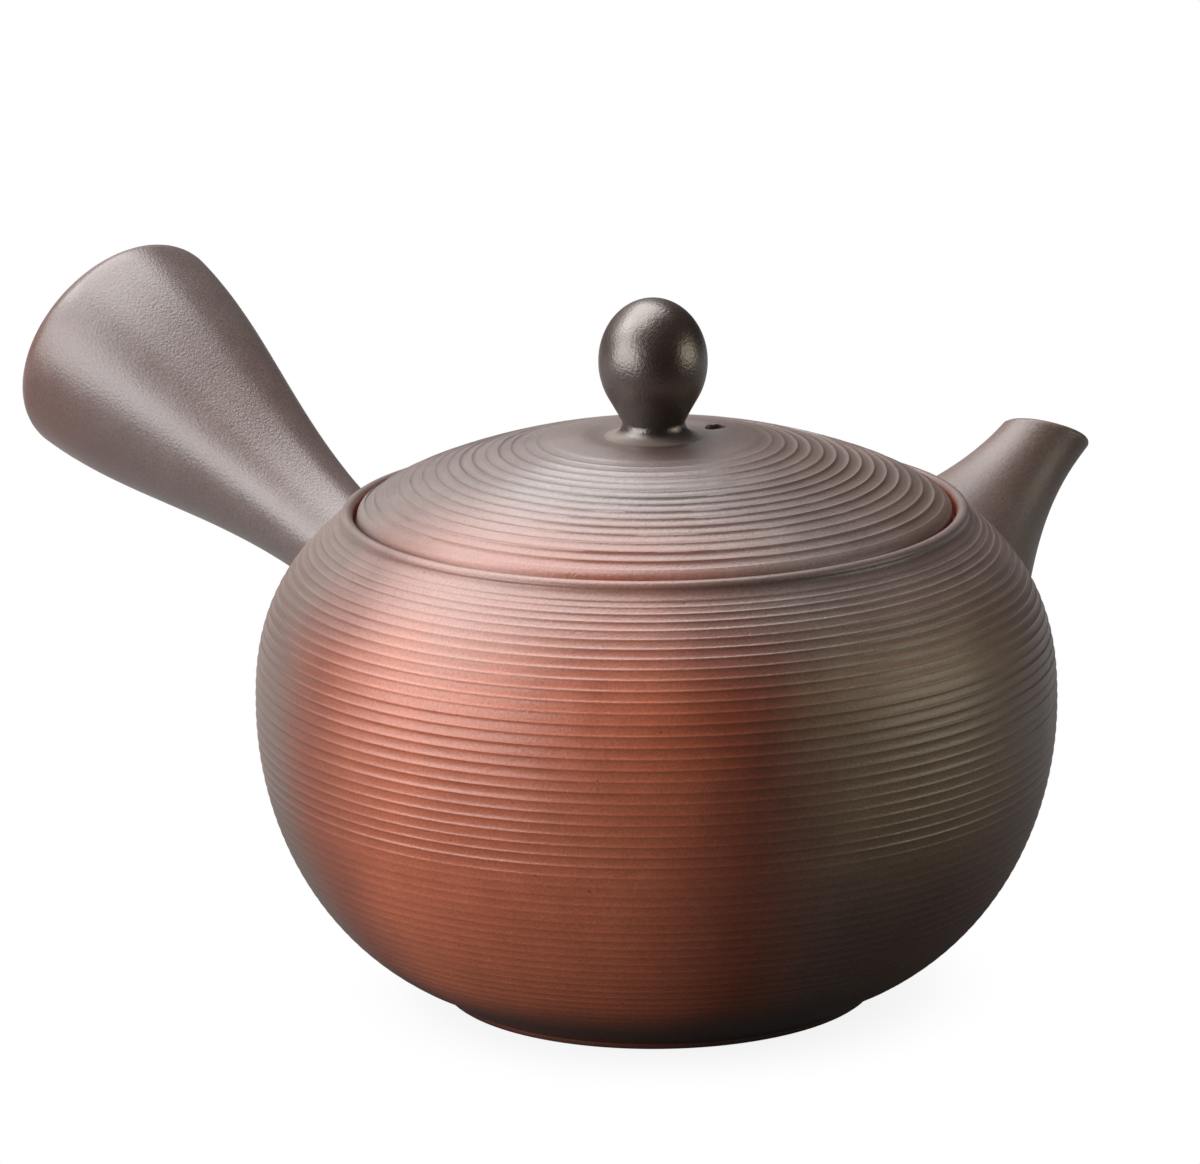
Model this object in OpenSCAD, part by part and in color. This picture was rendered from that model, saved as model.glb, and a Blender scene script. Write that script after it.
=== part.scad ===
// Side-handled teapot of unglazed stoneware, thrown in separate pieces that are luted together.
// Millimetres. The origin is the centre of the base, +Z is up and the spout points along +X.

/* [Body] */
// Widest diameter of the body
body_d = 108; // [96:0.5:120]
// Height of the widest ring above the base
belly_z = 40.2; // [36:0.1:44]
// Thickness of the thrown wall
wall = 3.6; // [2.8:0.1:4.4]
// Diameter of the foot that the pot stands on
foot_d = 59; // [52:0.5:64]
// Height of the foot below the bowl
foot_h = 1.7; // [1.2:0.1:3]
// Diameter of the flat floor that the bowl curve runs out into
floor_d = 42.5; // [36:0.5:50]
// Fullness of the shoulder, 2 is an ellipse and more is squarer
shoulder_power = 2.46; // [2.2:0.01:2.9]

/* [Mouth] */
// Height where the shoulder meets the collar
shoulder_z = 65.4; // [61:0.1:69]
// Outer diameter of the collar round the mouth
collar_d = 84.2; // [78:0.2:88]
// Height of the collar above the shoulder
collar_h = 1.5; // [1.4:0.1:2.4]
// Thickness of the collar, which ends in a round bead
collar_t = 1.7; // [1.4:0.1:2]
// Depth of the small groove between the shoulder and the collar
collar_groove = 0.35; // [0.2:0.05:0.6]
// Depth of the lid seat below the top of the collar
seat_depth = 2.6; // [2:0.1:3.6]
// Width of the ledge that carries the lid
ledge_w = 5.5; // [4:0.1:7]
// Thickness of the ledge at its free edge
ledge_t = 2.6; // [2:0.1:3.4]
// Height of the slope that carries the ledge
ledge_slope = 2; // [1.2:0.1:3]

/* [Combed ribs] */
// Distance between neighbouring ribs, along the surface
rib_pitch = 1.45; // [1.2:0.05:1.8]
// Width of the groove between two ribs
rib_groove_w = 0.4; // [0.3:0.05:0.6]
// Depth of the groove between two ribs
rib_groove_depth = 0.25; // [0.1:0.05:0.4]
// Height of the lowest rib above the base
rib_low_z = 29.8; // [24:0.2:34]

/* [Lid] */
// Gap round the lid, inside the collar
lid_gap = 1; // [0.5:0.1:1.6]
// Height of the lid's edge above its seat
lid_edge_h = 3.3; // [2.4:0.1:4]
// Rise of the domed top above the lid's edge
lid_rise = 9.7; // [8:0.1:12]
// Thickness of the domed top
lid_wall = 3.2; // [2.4:0.1:4]
// Gap round the flange, inside the ledge
flange_gap = 0.6; // [0.4:0.1:1]
// Thickness of the flange that keeps the lid in place
flange_t = 3; // [2.4:0.1:4]
// Length of the flange below the seat
flange_l = 5; // [4:0.1:7]
// Radius of the smooth middle of the lid
ring_start_r = 13.5; // [11.5:0.1:17]
// Distance between neighbouring turned rings
ring_pitch = 1.6; // [1.3:0.05:2]
// Depth of the step at each ring
ring_depth = 0.3; // [0.1:0.05:0.4]
// Width of the step at each ring
ring_step_w = 0.3; // [0.2:0.05:0.5]
// Diameter of the vent hole
vent_d = 2.7; // [2:0.1:3.2]
// Distance of the vent hole from the middle of the lid
vent_r = 9.2; // [8.5:0.1:9.6]
// Direction of the vent hole, measured from the spout
vent_turn = -13; // [-40:1:40]

/* [Knob] */
// Diameter of the ball
knob_d = 14.6; // [12:0.1:17]
// Height of the knob above the lid
knob_h = 18.1; // [16.5:0.1:21]
// Height of the middle of the ball above the lid
knob_ball_z = 9.6; // [9:0.1:11]
// Reach of the ball below its middle, if it ran on
knob_ball_drop = 8.7; // [8:0.1:9]
// Diameter of the neck
knob_neck_d = 8.4; // [7:0.1:9.4]
// Diameter of the foot where the knob is luted on
knob_foot_d = 12.4; // [11:0.1:13.4]
// Height of the fillet between the foot and the neck
knob_fillet_h = 1; // [0.6:0.1:1.4]
// Angle below the middle of the ball where it runs into the neck
knob_join_angle = 35; // [30:1:40]

/* [Spout] */
// Height on the body where the spout's axis comes out
spout_seat_z = 49.8; // [46:0.1:53]
// Angle of the spout's axis above the level
spout_angle = 40.4; // [35:0.2:46]
// Length from the body to the middle of the mouth
spout_l = 25; // [21:0.2:32]
// Radius of the spout at its root
spout_root_r = 15.6; // [14.6:0.1:16.6]
// Radius of the spout at its mouth
spout_mouth_r = 5.65; // [5.2:0.05:6.4]
// Wall of the spout at its root
spout_root_t = 2.6; // [2:0.1:3.2]
// Wall of the spout at its lip
spout_lip_t = 1.4; // [1.1:0.05:1.8]
// Forward tilt of the cut mouth
mouth_tip_angle = 27.4; // [22:0.2:36]
// Sideways tilt of the cut mouth, towards the handle
mouth_lean_angle = 12.5; // [0:0.1:16]

/* [Strainer] */
// Radius of the pierced dome inside the body
strainer_r = 14; // [13:0.1:15]
// Thickness of the pierced dome
strainer_t = 2; // [1.6:0.1:2.4]
// Distance of the dome's centre outside the seat of the spout
strainer_offset = 2.5; // [1.5:0.1:3.5]
// Radius of the opening through the body's wall behind the dome
throat_r = 9; // [7.5:0.1:9.4]
// Diameter of one strainer hole
strain_d = 1.5; // [1.1:0.1:1.7]
// Distance between neighbouring strainer holes
strain_pitch = 2.5; // [2.4:0.1:3.2]

/* [Handle] */
// Angle from the spout to the handle, seen from above
handle_turn = 94.5; // [75:0.5:105]
// Height on the body where the handle's axis comes out
handle_seat_z = 46.6; // [42:0.1:50]
// Angle of the handle's axis above the level
handle_angle = 23.6; // [16:0.1:30]
// Length of the handle from the body
handle_l = 65.8; // [58:0.2:80]
// Radius of the handle at its neck
handle_neck_r = 7; // [6.4:0.1:8]
// Pull of the curve inwards past the neck, before it flares
handle_waist_depth = 1.2; // [0.6:0.1:1.8]
// Widening left to the last stretch of the flare, before the lip
handle_flare_depth = 1.3; // [0.6:0.1:2]
// Radius of the handle at its wide end
handle_end_r = 17.3; // [15:0.1:19]
// Wall of the hollow handle
handle_wall = 3.2; // [2.6:0.1:3.8]
// Thickness of the rolled lip at the open end
handle_lip_t = 5.3; // [4.4:0.1:6]
// Depth over which the lip thins to the wall
handle_lip_l = 9; // [7:0.5:12]

/* [Hidden] */
$fn = 96;
curve_steps = 14;
overrun = 4;
bead_sweep = 190;
root_depth = 1.5 * spout_root_r;

body_r = body_d / 2;
foot_r = foot_d / 2;
floor_r = floor_d / 2;
collar_r = collar_d / 2;
bead_r = collar_t / 2;
rim_z = shoulder_z + collar_h;
bead_low_z = rim_z - bead_r + bead_r * sin(180 - bead_sweep);
mouth_r = collar_r - collar_t;
seat_z = rim_z - seat_depth;
ledge_r = mouth_r - ledge_w;
ledge_low_z = seat_z - ledge_t - ledge_slope;

// A power curve leaves the widest ring upright and closes over a core radius
function power_run(share, power) = pow(max(0, 1 - pow(share, power)), 1 / power);
bowl_depth = (belly_z - foot_h) / power_run((foot_r - floor_r) / (body_r - floor_r), 2);
crown_rise = (shoulder_z - belly_z) / power_run(collar_r / body_r, shoulder_power);
floor_z = belly_z - bowl_depth + wall;

// Radius of the body's surface at a height, on the outside or inset by the wall
function body_r_at(z, inset = 0) =
    z < belly_z
    ? floor_r + (body_r - inset - floor_r) * power_run((belly_z - z) / (bowl_depth - inset), 2)
    : (body_r - inset) * power_run((z - belly_z) / (crown_rise - inset), shoulder_power);
// Height of the bowl's surface at an angle round its curve
function bowl_z(angle, inset = 0) = belly_z - (bowl_depth - inset) * sin(angle);
function bowl_point(angle, inset = 0) = [
    floor_r + (body_r - inset - floor_r) * cos(angle),
    bowl_z(angle, inset)
];
function bowl_angle(z, inset = 0) = asin((belly_z - z) / (bowl_depth - inset));
// Change of height for a step along the surface
function climb(z, step) = step / norm([1, (body_r_at(z + 0.05) - body_r_at(z - 0.05)) / 0.1]);
function bezier(p, t) =
    pow(1 - t, 3) * p[0] + 3 * t * pow(1 - t, 2) * p[1]
    + 3 * pow(t, 2) * (1 - t) * p[2] + pow(t, 3) * p[3];
function bezier_run(p, steps) = [for (i = [0:steps]) bezier(p, i / steps)];

// Ribs run down from the shoulder: top edge of each rib, then the groove under it
rib_tops = [for (z = shoulder_z; z > rib_low_z; z = z - climb(z, rib_pitch)) z];
rib_end_z = rib_tops[len(rib_tops) - 1];
function rib(z, depth) =
    let (
        low = z - climb(z, rib_pitch - rib_groove_w),
        mid = z - climb(z, rib_pitch - rib_groove_w / 2)
    )
    [[body_r_at(z), z], [body_r_at(low), low], [body_r_at(mid) - depth, mid]];

// Outer outline from the shoulder down to the foot, with grooves of the given depth
function outer_outline(depth) =
    let (from = bowl_angle(rib_end_z), to = bowl_angle(foot_h))
    [
        for (i = [0:len(rib_tops) - 2]) each rib(rib_tops[i], depth),
        for (i = [0:curve_steps]) bowl_point(from + (to - from) * i / curve_steps),
        [foot_r, 0]
    ];
// Inner outline from the floor up to the ledge
function inner_outline() = [
    [0, floor_z],
    for (i = [0:curve_steps]) bowl_point(90 - 90 * i / curve_steps, wall),
    for (i = [1:curve_steps])
        let (z = belly_z + (ledge_low_z - belly_z) * i / curve_steps) [body_r_at(z, wall), z],
    [ledge_r, seat_z - ledge_t]
];
function collar_outline() = [
    [ledge_r, seat_z],
    [mouth_r, seat_z],
    for (i = [0:curve_steps])
        let (a = 180 - bead_sweep * i / curve_steps)
        [collar_r - bead_r + bead_r * cos(a), rim_z - bead_r + bead_r * sin(a)],
    [collar_r - collar_groove, (shoulder_z + bead_low_z) / 2]
];

// Everything inside the body's outer surface, without the grooves
module body_bulk() {
    rotate_extrude() polygon(concat([[0, shoulder_z]], outer_outline(0), [[0, 0]]));
}
module chamber() {
    rotate_extrude() polygon(concat(inner_outline(), [[0, seat_z - ledge_t]]));
}
// Puts a turned piece on the body, with its axis rising outwards from the seat
module on_body(z, angle, turn) {
    rotate([0, 0, turn]) translate([body_r_at(z), 0, z]) rotate([0, 90 - angle, 0]) children();
}
module on_spout_axis() {
    on_body(spout_seat_z, spout_angle, 0) children();
}

module body() {
    color("sienna") difference() {
        rotate_extrude() polygon(concat(
            inner_outline(), collar_outline(), outer_outline(rib_groove_depth), [[0, 0]]
        ));
        on_spout_axis() cylinder(r = throat_r, h = 4 * throat_r, center = true);
    }
}

// The spout narrows from a wide root in one sweep, and its mouth is cut on a slant
bend_share = 0.64;
root_share = 0.06;
throat_share = 0.36;
spout_bend = bend_share * spout_root_r;
spout_sweep = [
    [spout_root_r, -spout_bend],
    [spout_root_r, -root_share * spout_root_r],
    [spout_mouth_r, throat_share * spout_l],
    [spout_mouth_r, spout_l]
];
function spout_wall_at(y) =
    spout_root_t + (spout_lip_t - spout_root_t) * (y + spout_bend) / (spout_l + spout_bend);
function spout_side(inset) = [
    [spout_root_r - inset * spout_root_t, -root_depth],
    for (p = bezier_run(spout_sweep, curve_steps)) [p[0] - inset * spout_wall_at(p[1]), p[1]],
    [spout_mouth_r - inset * spout_lip_t, spout_l + spout_mouth_r]
];
function reverse(list) = [for (i = [len(list) - 1:-1:0]) list[i]];

module spout() {
    mouth_x = body_r_at(spout_seat_z) + spout_l * cos(spout_angle);
    mouth_z = spout_seat_z + spout_l * sin(spout_angle);
    cut = 4 * spout_root_r;
    color("rosybrown") difference() {
        on_spout_axis() rotate_extrude() polygon(concat(spout_side(0), reverse(spout_side(1))));
        body_bulk();
        translate([mouth_x, 0, mouth_z]) rotate([-mouth_lean_angle, mouth_tip_angle, 0])
            translate([-cut / 2, -cut / 2, 0]) cube(cut);
    }
}

// The handle flares from a narrow neck to a rolled lip round its open end
lip_r = handle_lip_t / 2;
waist_share = 0.4;
flare_share = 0.67;
handle_sweep = [
    [handle_neck_r, 0],
    [handle_neck_r - handle_waist_depth, waist_share * handle_l],
    [handle_end_r - handle_flare_depth, flare_share * handle_l],
    [handle_end_r, handle_l - lip_r]
];
module handle() {
    outside = bezier_run(handle_sweep, curve_steps);
    inside = [for (p = outside) if (p[1] < handle_l - handle_lip_l) [p[0] - handle_wall, p[1]]];
    lip = [
        for (i = [1:curve_steps])
            let (a = 180 * i / curve_steps)
            [handle_end_r - lip_r + lip_r * cos(a), handle_l - lip_r + lip_r * sin(a)]
    ];
    color("rosybrown") difference() {
        on_body(handle_seat_z, handle_angle, handle_turn) rotate_extrude() polygon(concat(
            [[handle_neck_r, -root_depth]], outside, lip, reverse(inside),
            [[handle_neck_r - handle_wall, -root_depth]]
        ));
        body_bulk();
    }
}

// A pierced dome luted over the opening in the wall, bulging into the pot
module strainer() {
    reach = throat_r - strain_d / 2;
    count = ceil(2 * reach / strain_pitch);
    color("sienna") intersection() {
        on_spout_axis() translate([0, 0, strainer_offset]) difference() {
            rotate([90, 0, 0]) sphere(r = strainer_r);
            rotate([90, 0, 0]) sphere(r = strainer_r - strainer_t);
            for (i = [-count:count], j = [-count:count]) {
                place = strain_pitch * [i + j / 2, j * sqrt(3) / 2];
                if (norm(place) < reach)
                    translate([place[0], place[1], -strainer_r - overrun])
                        cylinder(d = strain_d, h = strainer_r + overrun, $fn = 24);
            }
        }
        chamber();
    }
}

// The lid is a turned dome whose edge sits on the ledge, with a flange inside it
lid_r = mouth_r - lid_gap;
lid_edge_z = seat_z + lid_edge_h;
dome_r = (pow(lid_r, 2) + pow(lid_rise, 2)) / (2 * lid_rise);
flange_r = ledge_r - flange_gap;
flange_in_r = flange_r - flange_t;
knob_foot_r = knob_foot_d / 2;
function dome_z(r, inset = 0) =
    lid_edge_z + lid_rise - dome_r + sqrt(pow(dome_r - inset, 2) - pow(r, 2));
knob_z = dome_z(knob_foot_r);

module lid() {
    crests = [for (r = ring_start_r; r < lid_r - ring_pitch / 2; r = r + ring_pitch) r];
    smooth_middle = [
        [0, knob_z],
        for (i = [0:4])
            let (r = knob_foot_r + (ring_start_r - knob_foot_r) * i / 5) [r, dome_z(r)]
    ];
    rings = [
        for (r = crests) each [[r, dome_z(r)], [r + ring_step_w, dome_z(r + ring_step_w) - ring_depth]]
    ];
    edge = [
        [lid_r, lid_edge_z],
        [lid_r, seat_z],
        [flange_r, seat_z],
        [flange_r, seat_z - flange_l],
        [flange_in_r, seat_z - flange_l]
    ];
    underside = [
        for (i = [curve_steps:-1:0])
            let (r = flange_in_r * i / curve_steps) [r, dome_z(r, lid_wall)]
    ];
    color("rosybrown") difference() {
        rotate_extrude() polygon(concat(smooth_middle, rings, edge, underside));
        rotate([0, 0, vent_turn]) translate([vent_r, 0, seat_z])
            cylinder(d = vent_d, h = lid_edge_h + lid_rise + overrun, $fn = 32);
    }
}

// A turned ball on a short neck, with a fillet of slip at its foot
module knob() {
    ball_r = knob_d / 2;
    neck_r = knob_neck_d / 2;
    ball_rise = knob_h - knob_ball_z;
    join = [
        ball_r * cos(knob_join_angle),
        knob_ball_z - knob_ball_drop * sin(knob_join_angle)
    ];
    join_slope = knob_ball_drop * cos(knob_join_angle) / (ball_r * sin(knob_join_angle));
    bend = [neck_r, join[1] - (join[0] - neck_r) * join_slope];
    fillet = [
        for (i = [0:curve_steps / 2])
            let (a = 90 * i / (curve_steps / 2))
            [knob_foot_r - (knob_foot_r - neck_r) * sin(a), knob_fillet_h * (1 - cos(a))]
    ];
    neck = [
        for (i = [1:curve_steps / 2])
            let (t = i / (curve_steps / 2))
            pow(1 - t, 2) * [neck_r, knob_fillet_h] + 2 * t * (1 - t) * bend + t * t * join
    ];
    ball = [
        for (i = [1:2 * curve_steps])
            let (a = -knob_join_angle + (90 + knob_join_angle) * i / (2 * curve_steps))
            [ball_r * cos(a), knob_ball_z + (a < 0 ? knob_ball_drop : ball_rise) * sin(a)]
    ];
    color("saddlebrown") translate([0, 0, knob_z])
        rotate_extrude() polygon(concat([[0, 0]], fillet, neck, ball));
}

body();
spout();
handle();
strainer();
lid();
knob();
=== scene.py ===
import math

import bmesh
import bpy
import numpy as np
from bpy.props import FloatProperty, FloatVectorProperty, IntProperty, PointerProperty
from mathutils import Matrix, Vector


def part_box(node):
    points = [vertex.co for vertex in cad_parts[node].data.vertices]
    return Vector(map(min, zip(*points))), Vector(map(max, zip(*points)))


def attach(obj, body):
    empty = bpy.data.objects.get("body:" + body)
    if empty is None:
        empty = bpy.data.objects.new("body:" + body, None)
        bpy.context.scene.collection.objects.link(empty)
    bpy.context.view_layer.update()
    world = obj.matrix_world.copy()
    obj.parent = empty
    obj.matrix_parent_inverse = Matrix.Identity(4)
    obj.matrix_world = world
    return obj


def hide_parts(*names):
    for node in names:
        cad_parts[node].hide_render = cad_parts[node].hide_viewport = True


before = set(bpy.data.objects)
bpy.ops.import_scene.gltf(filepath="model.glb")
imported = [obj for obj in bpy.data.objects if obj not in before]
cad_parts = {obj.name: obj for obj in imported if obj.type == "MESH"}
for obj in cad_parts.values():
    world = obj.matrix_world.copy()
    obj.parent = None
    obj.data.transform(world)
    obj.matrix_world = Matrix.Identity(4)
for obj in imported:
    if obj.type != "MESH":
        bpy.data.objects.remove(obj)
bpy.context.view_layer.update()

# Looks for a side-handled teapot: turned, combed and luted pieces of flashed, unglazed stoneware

bl_info = {
    "name": "Flashed stoneware teapot",
    "version": (1, 0, 0),
    "blender": (4, 5, 0),
    "location": "View3D > Sidebar > Teapot",
    "description": "Makes the pieces of a side-handled teapot and the stage that it stands on",
    "category": "Object",
}

MM = 0.001
BODY_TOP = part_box("body")[1]
KNOB_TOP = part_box("knob")[1]
# Radius of the lid at which the height of the knob's ball is measured
KNOB_FOOT_R = 6.2 * MM
# Points of a mesh that lie closer than this are one point
MERGE = 0.002 * MM
# Faces that meet at more than this angle keep a sharp edge
TURNED_CREASE, FINE_CREASE = math.radians(70), math.radians(50)
# Rounds of halving in which a search closes in on the body's wall
HALVINGS = 40
# Wipes for a turned piece that nothing is luted on: they lie far away from it
UNWIPED = {"spout_seat": (0, 0, 1), "spout_wipe": MM, "handle_seat": (0, 0, 1), "handle_wipe": MM}
# Distances across one rib at which it takes points, as shares of the pitch
RIB_STATIONS = (0.0, 0.08, 0.17, 0.28, 0.42, 0.58, 0.72, 0.83, 0.92)
LINE_STATIONS = (0.0, 0.12, 0.3, 0.5, 0.7, 0.88)
# Height of the scoop that a comb's tooth leaves across one rib, between two ridges of height 1
SCOOP = ((0.08, 0.6), (0.18, 0.24), (0.32, 0.05), (0.5, 0.0), (0.68, 0.05), (0.82, 0.24), (0.92, 0.6))
# Soft boxes: name, degrees from the camera and above the level, width and height in metres, glow, tint
LAMPS = (
    ("left_box", -62, 10, (1.05, 0.55), 4.6, "#ffffff"),
    ("left_upper_box", -85, 38, (1.0, 0.5), 3.2, "#ffffff"),
    ("top_box", -128, 68, (1.2, 0.9), 4.8, "#ffffff"),
    ("right_strip", 82, 8, (0.6, 0.45), 2.3, "#fdf5e0"),
)
# Height on the pot that the soft boxes face, and how far the floor lies below its foot
LAMP_AIM_Z, FLOOR_DROP = 40 * MM, 0.05 * MM


def length(name, description, millimetres):
    """A property for a length that is written in millimetres."""
    return FloatProperty(
        name=name, description=description, default=millimetres * MM, unit="LENGTH", precision=5
    )


def angle(name, description, degrees):
    """A property for an angle that is written in degrees."""
    return FloatProperty(
        name=name, description=description, default=math.radians(degrees), unit="ROTATION"
    )


def colour(name, description, hex_text):
    """A property for a colour that is written as an sRGB hex value."""
    return FloatVectorProperty(
        name=name, description=description, default=linear(hex_text), subtype="COLOR", size=4
    )


def linear(hex_text):
    """Turns an sRGB hex value into the linear colour that the shaders take."""
    parts = [int(hex_text[i:i + 2], 16) / 255 for i in (1, 3, 5)]
    return [p / 12.92 if p <= 0.04045 else ((p + 0.055) / 1.055) ** 2.4 for p in parts] + [1.0]


class TeapotShape(bpy.types.PropertyGroup):
    """Sizes of the turned and luted pieces."""

    belly_r: FloatProperty(
        name="Belly radius", description="Radius of the widest ring", default=BODY_TOP.y, unit="LENGTH"
    )
    belly_z: length("Belly height", "Height of the widest ring", 40.2)
    wall: length("Wall", "Thickness of the thrown wall", 3.6)
    foot_r: length("Foot radius", "Radius of the foot that the pot stands on", 29.5)
    foot_h: length("Foot height", "Height of the foot below the bowl", 1.7)
    floor_r: length("Floor radius", "Flat floor that the bowl curve runs out into", 21.25)
    shoulder_power: FloatProperty(
        name="Shoulder fullness", description="2 is an ellipse and more is squarer", default=2.46
    )
    shoulder_z: length("Shoulder height", "Height where the shoulder meets the collar", 65.4)
    collar_r: length("Collar radius", "Outer radius of the collar", 42.1)
    collar_t: length("Collar wall", "Thickness of the collar, which ends in a bead", 1.7)
    cove_depth: length("Cove depth", "Depth of the soft hollow under the bead", 0.15)
    seat_depth: length("Seat depth", "Depth of the lid seat below the rim", 2.6)
    ledge_w: length("Ledge width", "Width of the ledge that carries the lid", 5.5)
    ledge_t: length("Ledge thickness", "Thickness of the ledge at its free edge", 2.6)
    ledge_slope: length("Ledge slope", "Height of the slope that carries the ledge", 2.0)
    rib_pitch: length("Rib pitch", "Distance between combed ribs", 1.45)
    rib_depth: length("Rib depth", "Depth of the scoop between two ribs", 0.135)
    rib_low_z: length("Lowest rib", "Height of the lowest rib", 29.8)
    smooth_band: length("Smooth band", "Bare band between the collar and the first rib", 1.2)
    line_pitch: length("Turning line pitch", "Distance between the faint lines below the ribs", 1.4)
    line_depth: length("Turning line depth", "Depth of the faint lines below the ribs", 0.07)
    lid_gap: length("Lid gap", "Gap round the lid, inside the collar", 0.5)
    lid_edge_h: length("Lid edge", "Height of the lid's edge above its seat", 3.3)
    lid_rise: length("Lid rise", "Rise of the domed top above the edge", 9.7)
    lid_wall: length("Lid wall", "Thickness of the domed top", 3.2)
    roll_w: length("Edge roll", "Width of the border that rolls over towards the lid's edge", 7.0)
    roll_depth: length("Edge roll depth", "Depth of that roll at the edge", 0.6)
    flange_gap: length("Flange gap", "Gap round the flange, inside the ledge", 0.6)
    flange_t: length("Flange thickness", "Thickness of the flange", 3.0)
    flange_l: length("Flange length", "Length of the flange below the seat", 5.0)
    ring_start_r: length("First ring", "Radius of the smooth middle of the lid", 14.0)
    ring_pitch: length("Ring pitch", "Distance between turned rings", 1.8)
    ring_depth: length("Ring depth", "Depth of the scoop between two rings", 0.24)
    dish_r: length("Dish radius", "Radius of the shallow dish that the knob stands in", 10.2)
    dish_depth: length("Dish depth", "Depth of that dish", 0.55)
    vent_d: length("Vent", "Diameter of the vent hole", 2.7)
    vent_r: length("Vent place", "Distance of the vent from the middle of the lid", 9.2)
    vent_turn: angle("Vent direction", "Direction of the vent, from the spout", -13.0)
    knob_d: length("Knob diameter", "Diameter of the ball", 14.6)
    knob_ball_z: length("Ball height", "Height of the middle of the ball above the lid", 9.6)
    knob_ball_drop: length("Ball drop", "Reach of the ball below its middle, if it ran on", 8.7)
    knob_neck_d: length("Neck diameter", "Diameter of the knob's neck", 8.4)
    knob_slip_r: length("Slip radius", "Reach of the slip smeared round the knob's foot", 6.6)
    knob_slip_h: length("Slip height", "Height of the slip fillet round the neck", 1.9)
    knob_join: angle("Ball join", "Angle below the ball's middle where it runs into the neck", 35.0)
    spout_seat_z: length("Spout seat", "Height where the spout's axis leaves the body", 49.8)
    spout_angle: angle("Spout angle", "Angle of the spout's axis above the level", 40.4)
    spout_l: length("Spout length", "Length from the body to the middle of the mouth", 25.0)
    spout_root_r: length("Spout root", "Radius of the spout at its root", 15.6)
    spout_mouth_r: length("Spout mouth", "Radius of the spout at its mouth", 5.65)
    spout_root_t: length("Spout root wall", "Wall of the spout at its root", 2.6)
    spout_lip_t: length("Spout lip", "Wall of the spout at its lip", 1.4)
    mouth_tip: angle("Mouth tip", "Forward tilt of the cut mouth", 27.4)
    mouth_lean: angle("Mouth lean", "Sideways tilt of the cut mouth", 12.5)
    throat_r: length("Throat radius", "Radius of the opening through the body's wall", 9.0)
    strainer_r: length("Strainer radius", "Radius of the pierced dome", 14.0)
    strainer_t: length("Strainer wall", "Thickness of the pierced dome", 2.0)
    strainer_offset: length("Strainer offset", "Distance of the dome's centre outside the seat", 2.5)
    strain_d: length("Strainer hole", "Diameter of one strainer hole", 1.5)
    strain_pitch: length("Strainer pitch", "Distance between strainer holes", 2.5)
    handle_turn: angle("Handle direction", "Angle from the spout to the handle", 94.5)
    handle_seat_z: length("Handle seat", "Height where the handle's axis leaves the body", 46.6)
    handle_angle: angle("Handle angle", "Angle of the handle's axis above the level", 23.6)
    handle_l: length("Handle length", "Length of the handle from the body", 65.8)
    handle_neck_r: length("Handle neck", "Radius of the handle at its neck", 7.0)
    handle_waist: length("Handle waist", "Pull of the curve inwards past the neck", 1.2)
    handle_flare: length("Handle flare", "Widening left to the last stretch of the flare", 1.3)
    handle_end_r: length("Handle end", "Radius of the handle at its wide end", 17.3)
    handle_wall: length("Handle wall", "Wall of the hollow handle", 3.2)
    handle_lip_t: length("Handle lip", "Thickness of the rolled lip", 5.3)
    handle_lip_l: length("Handle lip depth", "Depth over which the lip thins to the wall", 9.0)
    slip_reach: length("Slip reach", "Reach of the slip fillet where a piece is luted on", 1.8)
    steps_round: IntProperty(name="Steps round", description="Facets round a turned piece", default=176)


class TeapotFinish(bpy.types.PropertyGroup):
    """Colours and grain of the fired clay."""

    red: colour("Flashed red", "Clay where the flame kept its oxygen", "#ae5c3e")
    ember: colour("Ember brown", "Border between the red and the grey clay", "#7b3d28")
    # Dark red-brown of the handle's far end: partly flashing, partly painted shade
    scorch_and_shade: colour("Scorched brown", "Handle end that stood nearest to the flame", "#5e3224")
    grey: colour("Reduced grey", "Clay that the smoke turned grey-brown", "#665048")
    # Paler than the grey: partly a greener tint, partly painted highlight of the right lamp
    olive: colour("Reduced olive", "Greener patch of the grey clay", "#8d755d")
    mauve: colour("Grey mauve", "Paler clay on the lid, collar and spout", "#756763")
    dusk: colour("Dusky mauve", "Darker grey clay of the handle", "#6a5d5b")
    bare: colour("Bare clay", "Clay inside, where no smoke reached", "#8a4a37")
    burnished: colour("Burnished brown", "Compressed dark skin of the knob", "#2b1a14")
    lustre: colour("Burnished lustre", "Cast of the light that the burnished skin mirrors", "#e4dcd5")
    stain: colour("Slip stain", "Darker ring of slip round the knob's foot", "#6a5a54")
    # Besides the iron specks, this is the tint of the painted shade at the body's foot and of the painted
    # shadow of the knob on the lid
    speck: colour("Iron speck", "Tiny iron spots in the clay, and soot", "#3a2620")
    flash_turn: angle("Flash direction", "Middle of the red side, from the spout", 209.0)
    flash_half: angle("Flash half width", "Half width of the red side", 37.5)
    # Middle of the olive patch, which is partly painted highlight of the right lamp
    olive_highlight_turn: angle("Olive direction", "Middle of the olive patch, from the spout", 272.0)
    # Direction from the knob of the painted shadow that it casts on the lid
    knob_shadow_turn: angle("Lee direction", "Side of the knob where soot lies on the lid, from the spout", 246.0)
    # Middle of the lid's darker side, which is partly painted shade
    brown_shade_turn: angle("Smoke direction", "Middle of the browner side of the lid, from the spout", -30.0)
    grit: length("Grit", "Size of the grit that shows in the fired skin", 0.37)


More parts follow.
